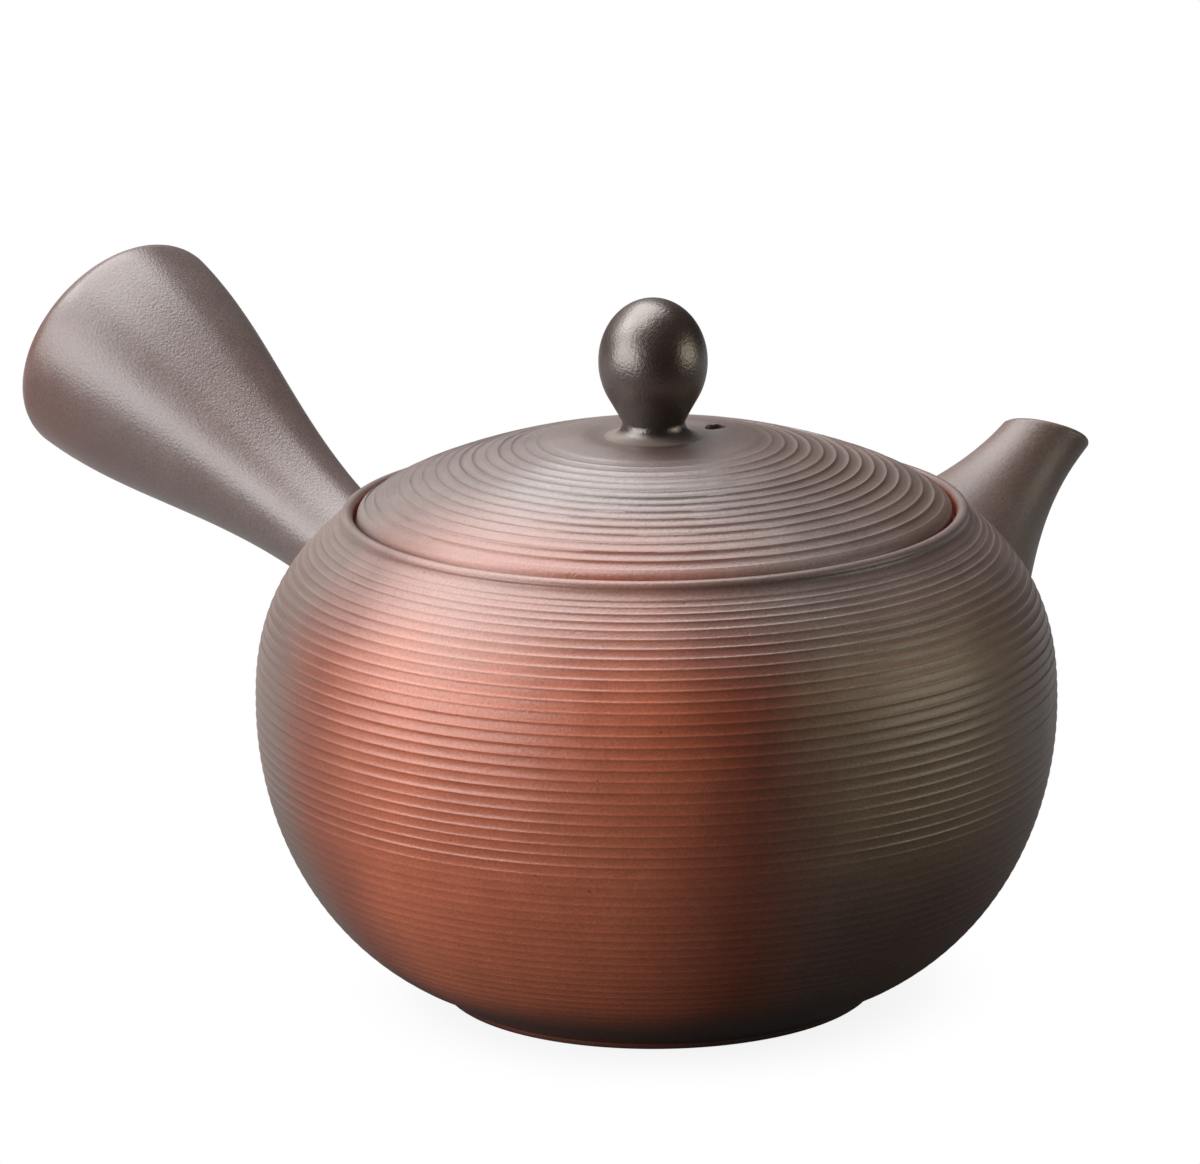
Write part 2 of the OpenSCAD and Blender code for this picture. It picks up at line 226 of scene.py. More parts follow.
class TeapotStage(bpy.types.PropertyGroup):
    """Camera, lamps and floor."""

    view_turn: angle("View direction", "Direction of the camera round the pot, from straight in front", -39.0)
    view_height: angle("View height", "Angle of the camera above the level", 14.24)
    view_roll: angle("View roll", "Roll of the camera", -0.69)
    view_distance: length("View distance", "Distance from the camera to the target", 850.0)
    target: FloatVectorProperty(
        name="Target", description="Point in the middle of the picture",
        default=(-0.00576, 0.00466, 0.0564), subtype="TRANSLATION"
    )
    lens: FloatProperty(
        name="Lens", description="Focal length in millimetres", default=189.9, unit="CAMERA"
    )
    sensor: FloatProperty(
        name="Sensor", description="Width of the sensor in millimetres", default=36.0, unit="CAMERA"
    )
    lamp_distance: length("Lamp distance", "Distance from the pot to each soft box", 1000.0)
    floor_half: length("Floor", "Half the side of the floor", 4000.0)


def add(tree, kind, inputs=None, **settings):
    """Adds a node, gives it its settings, and sets or links its inputs by name or number."""
    node = tree.nodes.new(kind)
    for key, value in settings.items():
        setattr(node, key, value)
    for key, value in (inputs or {}).items():
        if isinstance(value, bpy.types.Node):
            value = value.outputs[0]
        if isinstance(value, bpy.types.NodeSocket):
            tree.links.new(value, node.inputs[key])
        else:
            node.inputs[key].default_value = value
    return node


def shape():
    """The scene's sizes."""
    return bpy.context.scene.teapot_shape


def finish():
    """The scene's colours."""
    return bpy.context.scene.teapot_finish


# Outlines of the turned pieces, as points in the r, z plane


def arc(centre, radius, start, end, steps):
    """Points on an arc, with angles in degrees."""
    turn = np.radians(np.linspace(start, end, steps + 1))
    return np.stack([centre[0] + radius * np.cos(turn), centre[1] + radius * np.sin(turn)], 1)


def bend(first, corner, last, steps):
    """Points on a curve that leaves the first point towards the corner and arrives from there."""
    t = np.linspace(0, 1, steps + 1)[:, None]
    return (1 - t) ** 2 * np.array(first) + 2 * t * (1 - t) * np.array(corner) + t ** 2 * np.array(last)


def sweep(points, steps):
    """Points on a cubic curve."""
    t = np.linspace(0, 1, steps + 1)[:, None]
    a, b, c, d = (np.array(p) for p in points)
    return (1 - t) ** 3 * a + 3 * t * (1 - t) ** 2 * b + 3 * t ** 2 * (1 - t) * c + t ** 3 * d


def runs(points):
    """Distance along a line of points."""
    return np.concatenate([[0], np.cumsum(np.hypot(*np.diff(points, axis=0).T))])


def at_run(points, run):
    """Points at the given distances along a line of points."""
    along = runs(points)
    return np.stack([np.interp(run, along, points[:, i]) for i in (0, 1)], 1)


def bowl_depth(s):
    """Reach of the bowl curve below the belly, with which it meets the top of the foot."""
    share = (s.foot_r - s.floor_r) / (s.belly_r - s.floor_r)
    return (s.belly_z - s.foot_h) / math.sqrt(1 - share ** 2)


def crown_rise(s):
    """Reach of the shoulder curve above the belly, with which it meets the collar."""
    share = (s.collar_r / s.belly_r) ** s.shoulder_power
    return (s.shoulder_z - s.belly_z) / (1 - share) ** (1 / s.shoulder_power)


def crown(s, inset, low_turn, high_turn, steps):
    """Points on the shoulder curve, between two turns of its power curve, inset by a wall or by 0."""
    turn = np.linspace(low_turn, high_turn, steps + 1)
    power = 2 / s.shoulder_power
    return np.stack([
        (s.belly_r - inset) * np.cos(turn) ** power,
        s.belly_z + (crown_rise(s) - inset) * np.sin(turn) ** power,
    ], 1)


def bowl(s, inset, start, end, steps):
    """Points on the bowl curve below the belly, inset by a wall or by 0."""
    turn = np.linspace(start, end, steps + 1)
    return np.stack([
        s.floor_r + (s.belly_r - inset - s.floor_r) * np.cos(turn),
        s.belly_z - (bowl_depth(s) - inset) * np.sin(turn),
    ], 1)


def envelope(s):
    """The body's smooth outside, from the collar down to the foot."""
    high = math.acos((s.collar_r / s.belly_r) ** (s.shoulder_power / 2))
    low = math.asin((s.belly_z - s.foot_h) / bowl_depth(s))
    return np.concatenate([crown(s, 0, high, 0, 300), bowl(s, 0, 0, low, 300)[1:]])


def body_r_at(s, z):
    """Radius of the body's smooth outside at a height."""
    line = envelope(s)[::-1]
    return np.interp(z, line[:, 1], line[:, 0])


def combed_run(start, end, pitch, stations, tight=0.0):
    """Distances along a surface at which its ribs take points, the count of ribs at each, and the end.

    tight is the share of the pitch that the first rib lacks, because the comb starts slowly."""
    slow_ribs = 3

    def place(beat):
        return start + pitch * (beat - slow_ribs * tight * (1 - np.exp(-beat / slow_ribs)))

    count = int((end - start) / pitch + slow_ribs * tight)
    beats = np.array([k + station for k in range(count) for station in stations])
    return place(beats), beats, place(count)


class Outline:
    """A line of r, z points from the axis round to the axis, with what the comb does at each."""

    def __init__(self):
        self.points, self.beats, self.combs, self.insides = [], [], [], []

    def put(self, points, inside=0.0, beats=None, comb=0.0):
        """Adds points, with 1 for inside the pot, the count of ribs there and the comb's strength."""
        points = np.atleast_2d(points)
        self.points.extend(points)
        self.beats.extend(np.zeros(len(points)) if beats is None else beats)
        self.combs.extend(np.broadcast_to(comb, len(points)))
        self.insides.extend(np.full(len(points), inside))

    def mesh(self, name):
        """A mesh of edges that carries the outline into the turning tree."""
        line = np.array(self.points)
        keep = np.concatenate([[True], np.hypot(*np.diff(line, axis=0).T) > MERGE / 2])
        line = line[keep]
        slope = np.gradient(line, axis=0)
        slope /= np.linalg.norm(slope, axis=1)[:, None] + 1e-12
        mesh = bpy.data.meshes.new(name)
        mesh.from_pydata([(r, 0, z) for r, z in line], [(i, i + 1) for i in range(len(line) - 1)], [])
        out = np.stack([-slope[:, 1], np.zeros(len(line)), slope[:, 0]], 1)
        mesh.attributes.new("out", "FLOAT_VECTOR", "POINT").data.foreach_set("vector", out.ravel())
        for key, values in (("beat", self.beats), ("comb", self.combs), ("inside", self.insides)):
            mesh.attributes.new(key, "FLOAT", "POINT").data.foreach_set("value", np.array(values)[keep])
        return mesh


def body_outline(s):
    """From the middle of the floor up the inside, over the collar and down the combed outside."""
    line = Outline()
    bead = s.collar_t / 2
    mouth_r = s.collar_r - s.collar_t
    rim_z = BODY_TOP.z
    seat_z = rim_z - s.seat_depth
    ledge_r = mouth_r - s.ledge_w
    ledge_low_z = seat_z - s.ledge_t - s.ledge_slope
    floor_z = s.belly_z - bowl_depth(s) + s.wall
    line.put([(0, floor_z), (s.floor_r / 2, floor_z)], 1)
    line.put(bowl(s, s.wall, math.pi / 2, 0, 26), 1)
    high = math.asin(((ledge_low_z - s.belly_z) / (crown_rise(s) - s.wall)) ** (s.shoulder_power / 2))
    line.put(crown(s, s.wall, 0, high, 18)[1:], 1)
    edge = 0.5 * MM
    line.put(bend((ledge_r + edge, seat_z - s.ledge_t + edge / 2), (ledge_r, seat_z - s.ledge_t),
                  (ledge_r, seat_z - s.ledge_t + edge), 4), 1)
    line.put(bend((ledge_r, seat_z - edge), (ledge_r, seat_z), (ledge_r + edge, seat_z), 4), 1)
    line.put(bend((mouth_r - edge, seat_z), (mouth_r, seat_z), (mouth_r, seat_z + edge), 4), 1)
    centre = (s.collar_r - bead, rim_z - bead)
    bare_share = np.clip(np.linspace(1.2, -2.2, 19), 0, 1)
    line.put(arc(centre, bead, 180, 5, 18), bare_share)
    outside = envelope(s)
    foot_run, fade_run = runs(outside)[-1] - 6 * MM, 10 * MM
    low_run = np.interp(-s.rib_low_z, -outside[:, 1], runs(outside))
    line.put(bend(line.points[-1], (s.collar_r - s.cove_depth, s.shoulder_z + 0.1 * MM),
                  at_run(outside, [s.smooth_band])[0], 12)[1:-1])
    ribs, beats, ribs_end = combed_run(s.smooth_band, low_run, s.rib_pitch, RIB_STATIONS, tight=0.4)
    line.put(at_run(outside, ribs), 0, beats, np.clip(0.7 + 0.1 * beats, 0, 1))
    lines, beats, lines_end = combed_run(ribs_end, foot_run, s.line_pitch, LINE_STATIONS)
    fade = s.line_depth / s.rib_depth * np.clip((foot_run - lines) / fade_run, 0, 1)
    line.put(at_run(outside, lines), 0, beats, fade)
    line.put(bend(at_run(outside, [lines_end])[0], (s.foot_r + 2 * edge, s.foot_h),
                  (s.foot_r, 1.7 * edge), 14))
    line.put(bend((s.foot_r, 1.6 * edge), (s.foot_r, 0), (s.foot_r - 1.6 * edge, 0), 6))
    line.put([(s.foot_r * share, 0) for share in (0.9, 0.5, 0)])
    return line


def lid_edge_r(s):
    """Radius of the lid's edge, inside the collar."""
    return s.collar_r - s.collar_t - s.lid_gap


def dome_z(s, r, inset=0.0):
    """Height of the lid's dome at a radius, on the top or inset by its wall."""
    full = (lid_edge_r(s) ** 2 + s.lid_rise ** 2) / (2 * s.lid_rise)
    edge_z = BODY_TOP.z - s.seat_depth + s.lid_edge_h
    return edge_z + s.lid_rise - full + np.sqrt((full - inset) ** 2 - np.asarray(r) ** 2)


def lid_top_z(s, r):
    """Height of the lid's top at a radius, with the dish under the knob and the roll towards the edge."""
    share = np.clip((s.dish_r - np.asarray(r)) / (s.dish_r - s.knob_slip_r), 0, 1)
    roll = np.clip(1 - (lid_edge_r(s) - np.asarray(r)) / s.roll_w, 0, 1)
    return dome_z(s, r) - s.dish_depth * share * share * (3 - 2 * share) - s.roll_depth * roll * roll


def lid_outline(s):
    """From the middle of the dome over the turned rings, down the edge and back under the flange."""
    line = Outline()
    mouth_r = s.collar_r - s.collar_t
    lid_r = lid_edge_r(s)
    seat_z = BODY_TOP.z - s.seat_depth
    edge_z = seat_z + s.lid_edge_h - s.roll_depth
    flange_r = mouth_r - s.ledge_w - s.flange_gap
    flange_in_r = flange_r - s.flange_t
    low_z = seat_z - s.flange_l
    edge, nose, brow = 0.4 * MM, 1.0 * MM, 1.1 * MM
    radii = np.linspace(0, lid_r, 500)
    top = np.stack([radii, lid_top_z(s, radii)], 1)
    start = np.interp(s.ring_start_r, radii, runs(top))
    end = runs(top)[-1] - brow
    pitch = (end - start) / round((end - start) / s.ring_pitch)
    rounding = 0.01 * MM
    rings, beats, _ = combed_run(start, end + rounding, pitch, RIB_STATIONS)
    line.put(at_run(top, np.linspace(0, start, 22)[:-1]))
    line.put(at_run(top, rings), 0, beats, np.clip(0.2 + 0.2 * beats, 0, 1))
    line.put(bend((lid_r - brow, lid_top_z(s, lid_r - brow)), (lid_r, edge_z), (lid_r, edge_z - brow), 6))
    line.put(np.linspace((lid_r, edge_z - 1.5 * brow), (lid_r, seat_z + 2 * edge), 4))
    line.put(bend((lid_r, seat_z + edge), (lid_r, seat_z), (lid_r - edge, seat_z), 4), 1)
    line.put(bend((flange_r + edge, seat_z), (flange_r, seat_z), (flange_r, seat_z - edge), 4), 1)
    line.put(bend((flange_r, low_z + nose), (flange_r, low_z), (flange_r - nose, low_z), 5), 1)
    line.put(bend((flange_in_r + nose, low_z), (flange_in_r, low_z), (flange_in_r, low_z + nose), 5), 1)
    under = dome_z(s, flange_in_r, s.lid_wall)
    line.put(bend((flange_in_r, under - 2 * nose), (flange_in_r, under),
                  (flange_in_r - 2 * nose, dome_z(s, flange_in_r - 2 * nose, s.lid_wall)), 5), 1)
    radii = np.linspace(flange_in_r - 2 * nose, 0, 18)[1:]
    line.put(np.stack([radii, dome_z(s, radii, s.lid_wall)], 1), 1)
    return line


def knob_outline(s):
    """From the top of the ball down the neck and out over the slip at its foot."""
    line = Outline()
    ball_r, neck_r = s.knob_d / 2, s.knob_neck_d / 2
    middle_z = float(dome_z(s, KNOB_FOOT_R)) + s.knob_ball_z
    foot_z = float(lid_top_z(s, s.knob_slip_r))
    turn = np.linspace(math.pi / 2, -s.knob_join, 40)
    reach = np.where(turn > 0, KNOB_TOP.z - middle_z, s.knob_ball_drop)
    ball = np.stack([ball_r * np.cos(turn), middle_z + reach * np.sin(turn)], 1)
    ball[0, 0] = 0
    line.put(ball)
    slope = s.knob_ball_drop * math.cos(s.knob_join) / (ball_r * math.sin(s.knob_join))
    corner = (neck_r, ball[-1, 1] - (ball[-1, 0] - neck_r) * slope)
    slip_top = (neck_r, foot_z + s.knob_slip_h)
    line.put(bend(ball[-1], corner, slip_top, 16)[1:])
    slip_end = (s.knob_slip_r, foot_z + 0.02 * MM)
    line.put(bend(slip_top, (neck_r + 0.1 * MM, foot_z + 0.1 * MM), slip_end, 16)[1:])
    sunk = foot_z - 0.5 * MM
    line.put([(s.knob_slip_r, sunk), (neck_r, sunk), (0, sunk)])
    return line


# Geometry trees


def empty_tree(name, result, sockets):
    """A geometry tree with its named inputs and one output, and the sockets that carry the inputs."""
    tree = bpy.data.node_groups.new(name, "GeometryNodeTree")
    for label, kind in sockets.items():
        tree.interface.new_socket(label, in_out="INPUT", socket_type="NodeSocket" + kind)
    tree.interface.new_socket(result, in_out="OUTPUT", socket_type="NodeSocketGeometry")
    return tree, add(tree, "NodeGroupInput").outputs


def turning_tree():
    """A geometry tree that spins an outline into a turned piece and combs it where the outline says."""
    title = "Turned on the wheel"
    if title in bpy.data.node_groups:
        return bpy.data.node_groups[title]
    tree, given = empty_tree(title, "Turned piece", {
        "Outline": "Geometry", "Steps round": "Int", "Comb depth": "Float", "Unevenness": "Float",
        "Spout seat": "Vector", "Spout wipe": "Float", "Handle seat": "Vector", "Handle wipe": "Float",
        "Clay": "Material",
    })
    size = add(tree, "GeometryNodeAttributeDomainSize", {0: given["Outline"]}, component="MESH")
    count = size.outputs["Point Count"]
    columns = add(tree, "ShaderNodeMath", {0: given["Steps round"], 1: 1.0}, operation="ADD")
    grid = add(tree, "GeometryNodeMeshGrid", {"Vertices X": columns, "Vertices Y": count})
    index = add(tree, "GeometryNodeInputIndex")
    row = add(tree, "ShaderNodeMath", {0: index, 1: count}, operation="MODULO")
    share = add(tree, "ShaderNodeMath", {0: index, 1: count}, operation="DIVIDE")
    column = add(tree, "ShaderNodeMath", {0: share}, operation="FLOOR")
    part = add(tree, "ShaderNodeMath", {0: column, 1: given["Steps round"]}, operation="DIVIDE")
    turn = add(tree, "ShaderNodeMath", {0: part, 1: math.tau}, operation="MULTIPLY")
    read = []
    for name, kind in (("position", "FLOAT_VECTOR"), ("out", "FLOAT_VECTOR"), ("beat", "FLOAT"),
                       ("comb", "FLOAT"), ("inside", "FLOAT")):
        source = add(tree, "GeometryNodeInputNamedAttribute", {"Name": name}, data_type=kind)
        read.append(add(tree, "GeometryNodeSampleIndex", {
            "Geometry": given["Outline"], "Value": source, "Index": row,
        }, data_type=kind))
    place, out, beat, comb, inside = read
    plain = add(tree, "ShaderNodeVectorRotate", {"Vector": place, "Angle": turn}, rotation_type="Z_AXIS")
    phase = add(tree, "ShaderNodeMath", {0: beat}, operation="FRACT")
    scoop = add(tree, "ShaderNodeFloatCurve", {"Value": phase})
    curve = scoop.mapping.curves[0]
    curve.points[0].location = (0, 1)
    curve.points[1].location = (1, 1)
    for spot in SCOOP:
        curve.points.new(*spot)
    scoop.mapping.update()
    cut = add(tree, "ShaderNodeMath", {0: scoop, 1: 1.0}, operation="SUBTRACT")
    waver = add(tree, "ShaderNodeTexNoise", {"Vector": plain, "Scale": 1 / (9 * MM), "Detail": 3.0})
    swing = add(tree, "ShaderNodeMath", {0: waver, 1: 0.5}, operation="SUBTRACT")
    lean = add(tree, "ShaderNodeMath", {0: swing, 1: given["Unevenness"], 2: 1.0}, operation="MULTIPLY_ADD")
    rib = add(tree, "ShaderNodeMath", {0: beat}, operation="FLOOR")
    tooth = add(tree, "ShaderNodeTexWhiteNoise", {"W": rib}, noise_dimensions="1D")
    press = add(tree, "ShaderNodeMapRange", {"Value": tooth, "To Min": 0.7, "To Max": 1.3})
    lean = add(tree, "ShaderNodeMath", {0: lean, 1: press}, operation="MULTIPLY")
    depth = add(tree, "ShaderNodeMath", {0: given["Comb depth"], 1: lean}, operation="MULTIPLY")
    depth = add(tree, "ShaderNodeMath", {0: depth, 1: comb}, operation="MULTIPLY")
    for seat, wipe in (("Spout seat", "Spout wipe"), ("Handle seat", "Handle wipe")):
        away = add(tree, "ShaderNodeVectorMath", {0: plain, 1: given[seat]}, operation="DISTANCE")
        far = add(tree, "ShaderNodeMath", {0: given[wipe], 1: 1.4}, operation="MULTIPLY")
        left = add(tree, "ShaderNodeMapRange", {
            "Value": away.outputs["Value"], "From Min": given[wipe], "From Max": far,
            "To Min": 0.08, "To Max": 1.0,
        }, interpolation_type="SMOOTHSTEP")
        depth = add(tree, "ShaderNodeMath", {0: depth, 1: left}, operation="MULTIPLY")
    offset = add(tree, "ShaderNodeMath", {0: cut, 1: depth}, operation="MULTIPLY")
    push = add(tree, "ShaderNodeVectorMath", {0: out, "Scale": offset}, operation="SCALE")
    combed = add(tree, "ShaderNodeVectorMath", {0: place, 1: push}, operation="ADD")
    spun = add(tree, "ShaderNodeVectorRotate", {"Vector": combed, "Angle": turn}, rotation_type="Z_AXIS")
    placed = add(tree, "GeometryNodeSetPosition", {"Geometry": grid.outputs["Mesh"], "Position": spun})
    marked = add(tree, "GeometryNodeStoreNamedAttribute",
                 {"Geometry": placed, "Name": "inside", "Value": inside}, data_type="FLOAT")
    joined = add(tree, "GeometryNodeMergeByDistance", {"Geometry": marked, "Distance": MERGE})
    smooth = add(tree, "GeometryNodeSetShadeSmooth", {"Geometry": joined})
    real = add(tree, "GeometryNodeRealizeInstances", {"Geometry": smooth})
    clay = add(tree, "GeometryNodeSetMaterial", {"Geometry": real, "Material": given["Clay"]})
    add(tree, "NodeGroupOutput", {0: clay})
    return tree


def dome_tree():
    """A geometry tree that pierces a dome with a close-packed field of holes along its own axis."""
    tree, given = empty_tree("Pierced strainer", "Strainer", {
        "Dome": "Geometry", "Hole diameter": "Float", "Hole pitch": "Float", "Reach": "Float",
        "Centre": "Vector", "Tilt": "Float", "Clay": "Material",
    })
    side, drill_l = 13, 40 * MM
    field = add(tree, "GeometryNodeMeshGrid", {"Vertices X": side, "Vertices Y": side})
    index = add(tree, "GeometryNodeInputIndex")
    share = add(tree, "ShaderNodeMath", {0: index, 1: float(side)}, operation="DIVIDE")
    column = add(tree, "ShaderNodeMath", {0: share}, operation="FLOOR")
    row = add(tree, "ShaderNodeMath", {0: index, 1: float(side)}, operation="MODULO")
    across = add(tree, "ShaderNodeMath", {0: row, 1: 0.5, 2: column}, operation="MULTIPLY_ADD")
    middle = (side - 1) / 2
    across = add(tree, "ShaderNodeMath", {0: across, 1: 1.5 * middle}, operation="SUBTRACT")
    up = add(tree, "ShaderNodeMath", {0: row, 1: middle}, operation="SUBTRACT")
    up = add(tree, "ShaderNodeMath", {0: up, 1: math.sqrt(0.75)}, operation="MULTIPLY")
    spot = add(tree, "ShaderNodeCombineXYZ", {"X": across, "Y": up})
    spot = add(tree, "ShaderNodeVectorMath", {0: spot, "Scale": given["Hole pitch"]}, operation="SCALE")
    spread = add(tree, "GeometryNodeSetPosition", {"Geometry": field.outputs["Mesh"], "Position": spot})
    at = add(tree, "GeometryNodeInputPosition")
    from_axis = add(tree, "ShaderNodeVectorMath", {0: at}, operation="LENGTH").outputs["Value"]
    outer = add(tree, "ShaderNodeMath", {0: from_axis, 1: given["Reach"]}, operation="GREATER_THAN")
    kept = add(tree, "GeometryNodeDeleteGeometry", {"Geometry": spread, "Selection": outer})
    radius = add(tree, "ShaderNodeMath", {0: given["Hole diameter"], 1: 0.5}, operation="MULTIPLY")
    drill = add(tree, "GeometryNodeMeshCylinder", {"Vertices": 20, "Radius": radius, "Depth": drill_l})
    drills = add(tree, "GeometryNodeInstanceOnPoints", {"Points": kept, "Instance": drill.outputs["Mesh"]})
    turned = add(tree, "ShaderNodeCombineXYZ", {"Y": given["Tilt"]})
    solid = add(tree, "GeometryNodeRealizeInstances", {"Geometry": drills})
    lined = add(tree, "GeometryNodeTransform", {
        "Geometry": solid, "Translation": given["Centre"], "Rotation": turned,
    })
    pierced = add(tree, "GeometryNodeMeshBoolean", {
        "Mesh 1": given["Dome"], "Mesh 2": lined,
    }, operation="DIFFERENCE")
    real = add(tree, "GeometryNodeRealizeInstances", {"Geometry": pierced.outputs["Mesh"]})
    clay = add(tree, "GeometryNodeSetMaterial", {"Geometry": real, "Material": given["Clay"]})
    add(tree, "NodeGroupOutput", {0: clay})
    return tree


# Making pieces


def show(name, mesh):
    """Puts a mesh into the scene as an object."""
    piece = bpy.data.objects.new(name, mesh)
    bpy.context.scene.collection.objects.link(piece)
    return piece


def plain_mesh(piece):
    """Turns what the piece's modifiers make into its own mesh, closed and facing outwards."""
    bpy.context.view_layer.update()
    graph = bpy.context.evaluated_depsgraph_get()
    made = bpy.data.meshes.new_from_object(piece.evaluated_get(graph))
    piece.modifiers.clear()
    piece.data = made
    work = bmesh.new()
    work.from_mesh(made)
    bmesh.ops.recalc_face_normals(work, faces=work.faces)
    work.to_mesh(made)
    work.free()


def grow(piece, tree, **inputs):
    """Runs a geometry tree on a piece, with its inputs set by their sockets' identifiers."""
    made = piece.modifiers.new(tree.name, "NODES")
    made.node_group = tree
    for item in tree.interface.items_tree:
        key = item.name.lower().replace(" ", "_")
        if item.in_out == "INPUT" and key in inputs:
            made[item.identifier] = inputs[key]
    plain_mesh(piece)


def pierce(piece, cutter):
    """Cuts one closed mesh out of another."""
    cut = piece.modifiers.new("Pierce", "BOOLEAN")
    cut.operation, cut.solver, cut.object = "DIFFERENCE", "EXACT", cutter
    plain_mesh(piece)
    bpy.data.objects.remove(cutter)


def loft(name, rings, loop):
    """A mesh of quads through rings with as many points each; in a loop the last ring joins the first."""
    rings = np.array(rings)
    count, steps, _ = rings.shape
    faces = []
    for k in range(count if loop else count - 1):
        for i in range(steps):
            j, n = (i + 1) % steps, (k + 1) % count
            faces.append((k * steps + i, k * steps + j, n * steps + j, n * steps + i))
    mesh = bpy.data.meshes.new(name)
    mesh.from_pydata(rings.reshape(-1, 3).tolist(), [], faces)
    work = bmesh.new()
    work.from_mesh(mesh)
    bmesh.ops.remove_doubles(work, verts=work.verts, dist=MERGE)
    bmesh.ops.dissolve_degenerate(work, edges=work.edges, dist=MERGE / 2)
    bmesh.ops.recalc_face_normals(work, faces=work.faces)
    for face in work.faces:
        face.smooth = True
    work.to_mesh(mesh)
    work.free()
    return mesh


def settle(piece, clay, node, body):
    """Gives a finished piece its clay and its place in the frame, and stops if nothing was made."""
    if not piece.data.polygons:
        raise RuntimeError(piece.name + " has no faces")
    piece.data.materials.clear()
    piece.data.materials.append(clay)
    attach(piece, body)
    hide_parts(node)


class Axis:
    """The axis of a piece that is luted on the body."""

    def __init__(self, s, seat_z, rise, turn):
        seat_r = float(body_r_at(s, seat_z))
        level = np.array([math.cos(turn), math.sin(turn), 0])
        up = np.array([0, 0, 1])
        self.seat = seat_r * level + seat_z * up
        self.along = math.cos(rise) * level + math.sin(rise) * up
        self.over = -math.sin(rise) * level + math.cos(rise) * up
        self.side = np.array([-math.sin(turn), math.cos(turn), 0])

    def spokes(self, steps):
        """Directions square to the axis, all round it."""
        turn = np.linspace(0, math.tau, steps, endpoint=False)
        return np.cos(turn)[:, None] * self.over + np.sin(turn)[:, None] * self.side

    def at(self, t, r, spokes):
        """Points at distances along the axis and out from it."""
        return self.seat + np.asarray(t)[..., None] * self.along + np.asarray(r)[..., None] * spokes


def met(s, depth, low, high, line):
    """How far along each line its points come to a depth under the body's skin, between low and high."""
    for _ in range(HALVINGS):
        middle = (low + high) / 2
        place = line(middle)
        inside = np.hypot(place[:, 0], place[:, 1]) < body_r_at(s, place[:, 2]) - depth
        low, high = np.where(inside, middle, low), np.where(inside, high, middle)
    return (low + high) / 2


def skin_normal(s, place):
    """Outward normal of the body's smooth skin."""
    step = 0.2 * MM
    r = np.hypot(place[:, 0], place[:, 1])
    lean = (body_r_at(s, place[:, 2] + step) - body_r_at(s, place[:, 2] - step)) / (2 * step)
    normal = np.stack([place[:, 0] / r, place[:, 1] / r, -lean], 1)
    return normal / np.linalg.norm(normal, axis=1)[:, None]


def luted_tube(name, s, axis, outer, inner, lip, end, steps):
    """A hollow piece of the wheel that is luted on: outside, lip, inside, and a slip fillet at its root.

    outer and inner give radii along the axis, end where the lip starts for each line, and lip its points
    as radii and distances from there."""
    spokes = axis.spokes(steps)
    inmost, outmost = np.full(steps, -20 * MM), np.full(steps, 14 * MM)
    # Depths under the body's skin of the bore's end and of the slip's edge, and from there to its root
    bore_depth, slip_depth, slip_root = 1.2 * MM, 0.3 * MM, 0.9 * MM
    joint = met(s, 0.0, inmost, outmost, lambda t: axis.at(t, outer(t), spokes))
    top = joint + s.slip_reach
    rings = []
    shares = np.linspace(0, 1, 44)
    for share in shares:
        t = top + (end - top) * share
        rings.append(axis.at(t, outer(t), spokes))
    for r, t in lip:
        rings.append(axis.at(end + t, np.full(steps, r), spokes))
    bottom = met(s, bore_depth, inmost, outmost, lambda t: axis.at(t, inner(t), spokes))
    for share in shares:
        t = end + (bottom - end) * share
        rings.append(axis.at(t, inner(t), spokes))
    corner = axis.at(joint, outer(joint), spokes)
    normal = skin_normal(s, corner)
    away = spokes - np.sum(spokes * normal, axis=1)[:, None] * normal
    away /= np.linalg.norm(away, axis=1)[:, None]
    foot = corner + s.slip_reach * away
    r = body_r_at(s, foot[:, 2]) - slip_depth
    foot[:, :2] *= (r / np.hypot(foot[:, 0], foot[:, 1]))[:, None]
    rings.append(foot - slip_root * normal)
    for t in np.linspace(0, 1, 9)[:-1]:
        rings.append((1 - t) ** 2 * foot + 2 * t * (1 - t) * corner + t ** 2 * rings[0])
    return loft(name, rings, loop=True)


# Fired clays


def clay_tree(name):
    """A material with its shader, and the object coordinates that its patterns follow."""
    material = bpy.data.materials.new(name)
    material.use_nodes = True
    tree = material.node_tree
    tree.nodes.clear()
    shader = add(tree, "ShaderNodeBsdfPrincipled")
    add(tree, "ShaderNodeOutputMaterial", {"Surface": shader})
    place = add(tree, "ShaderNodeTexCoord").outputs["Object"]
    return material, tree, shader, place


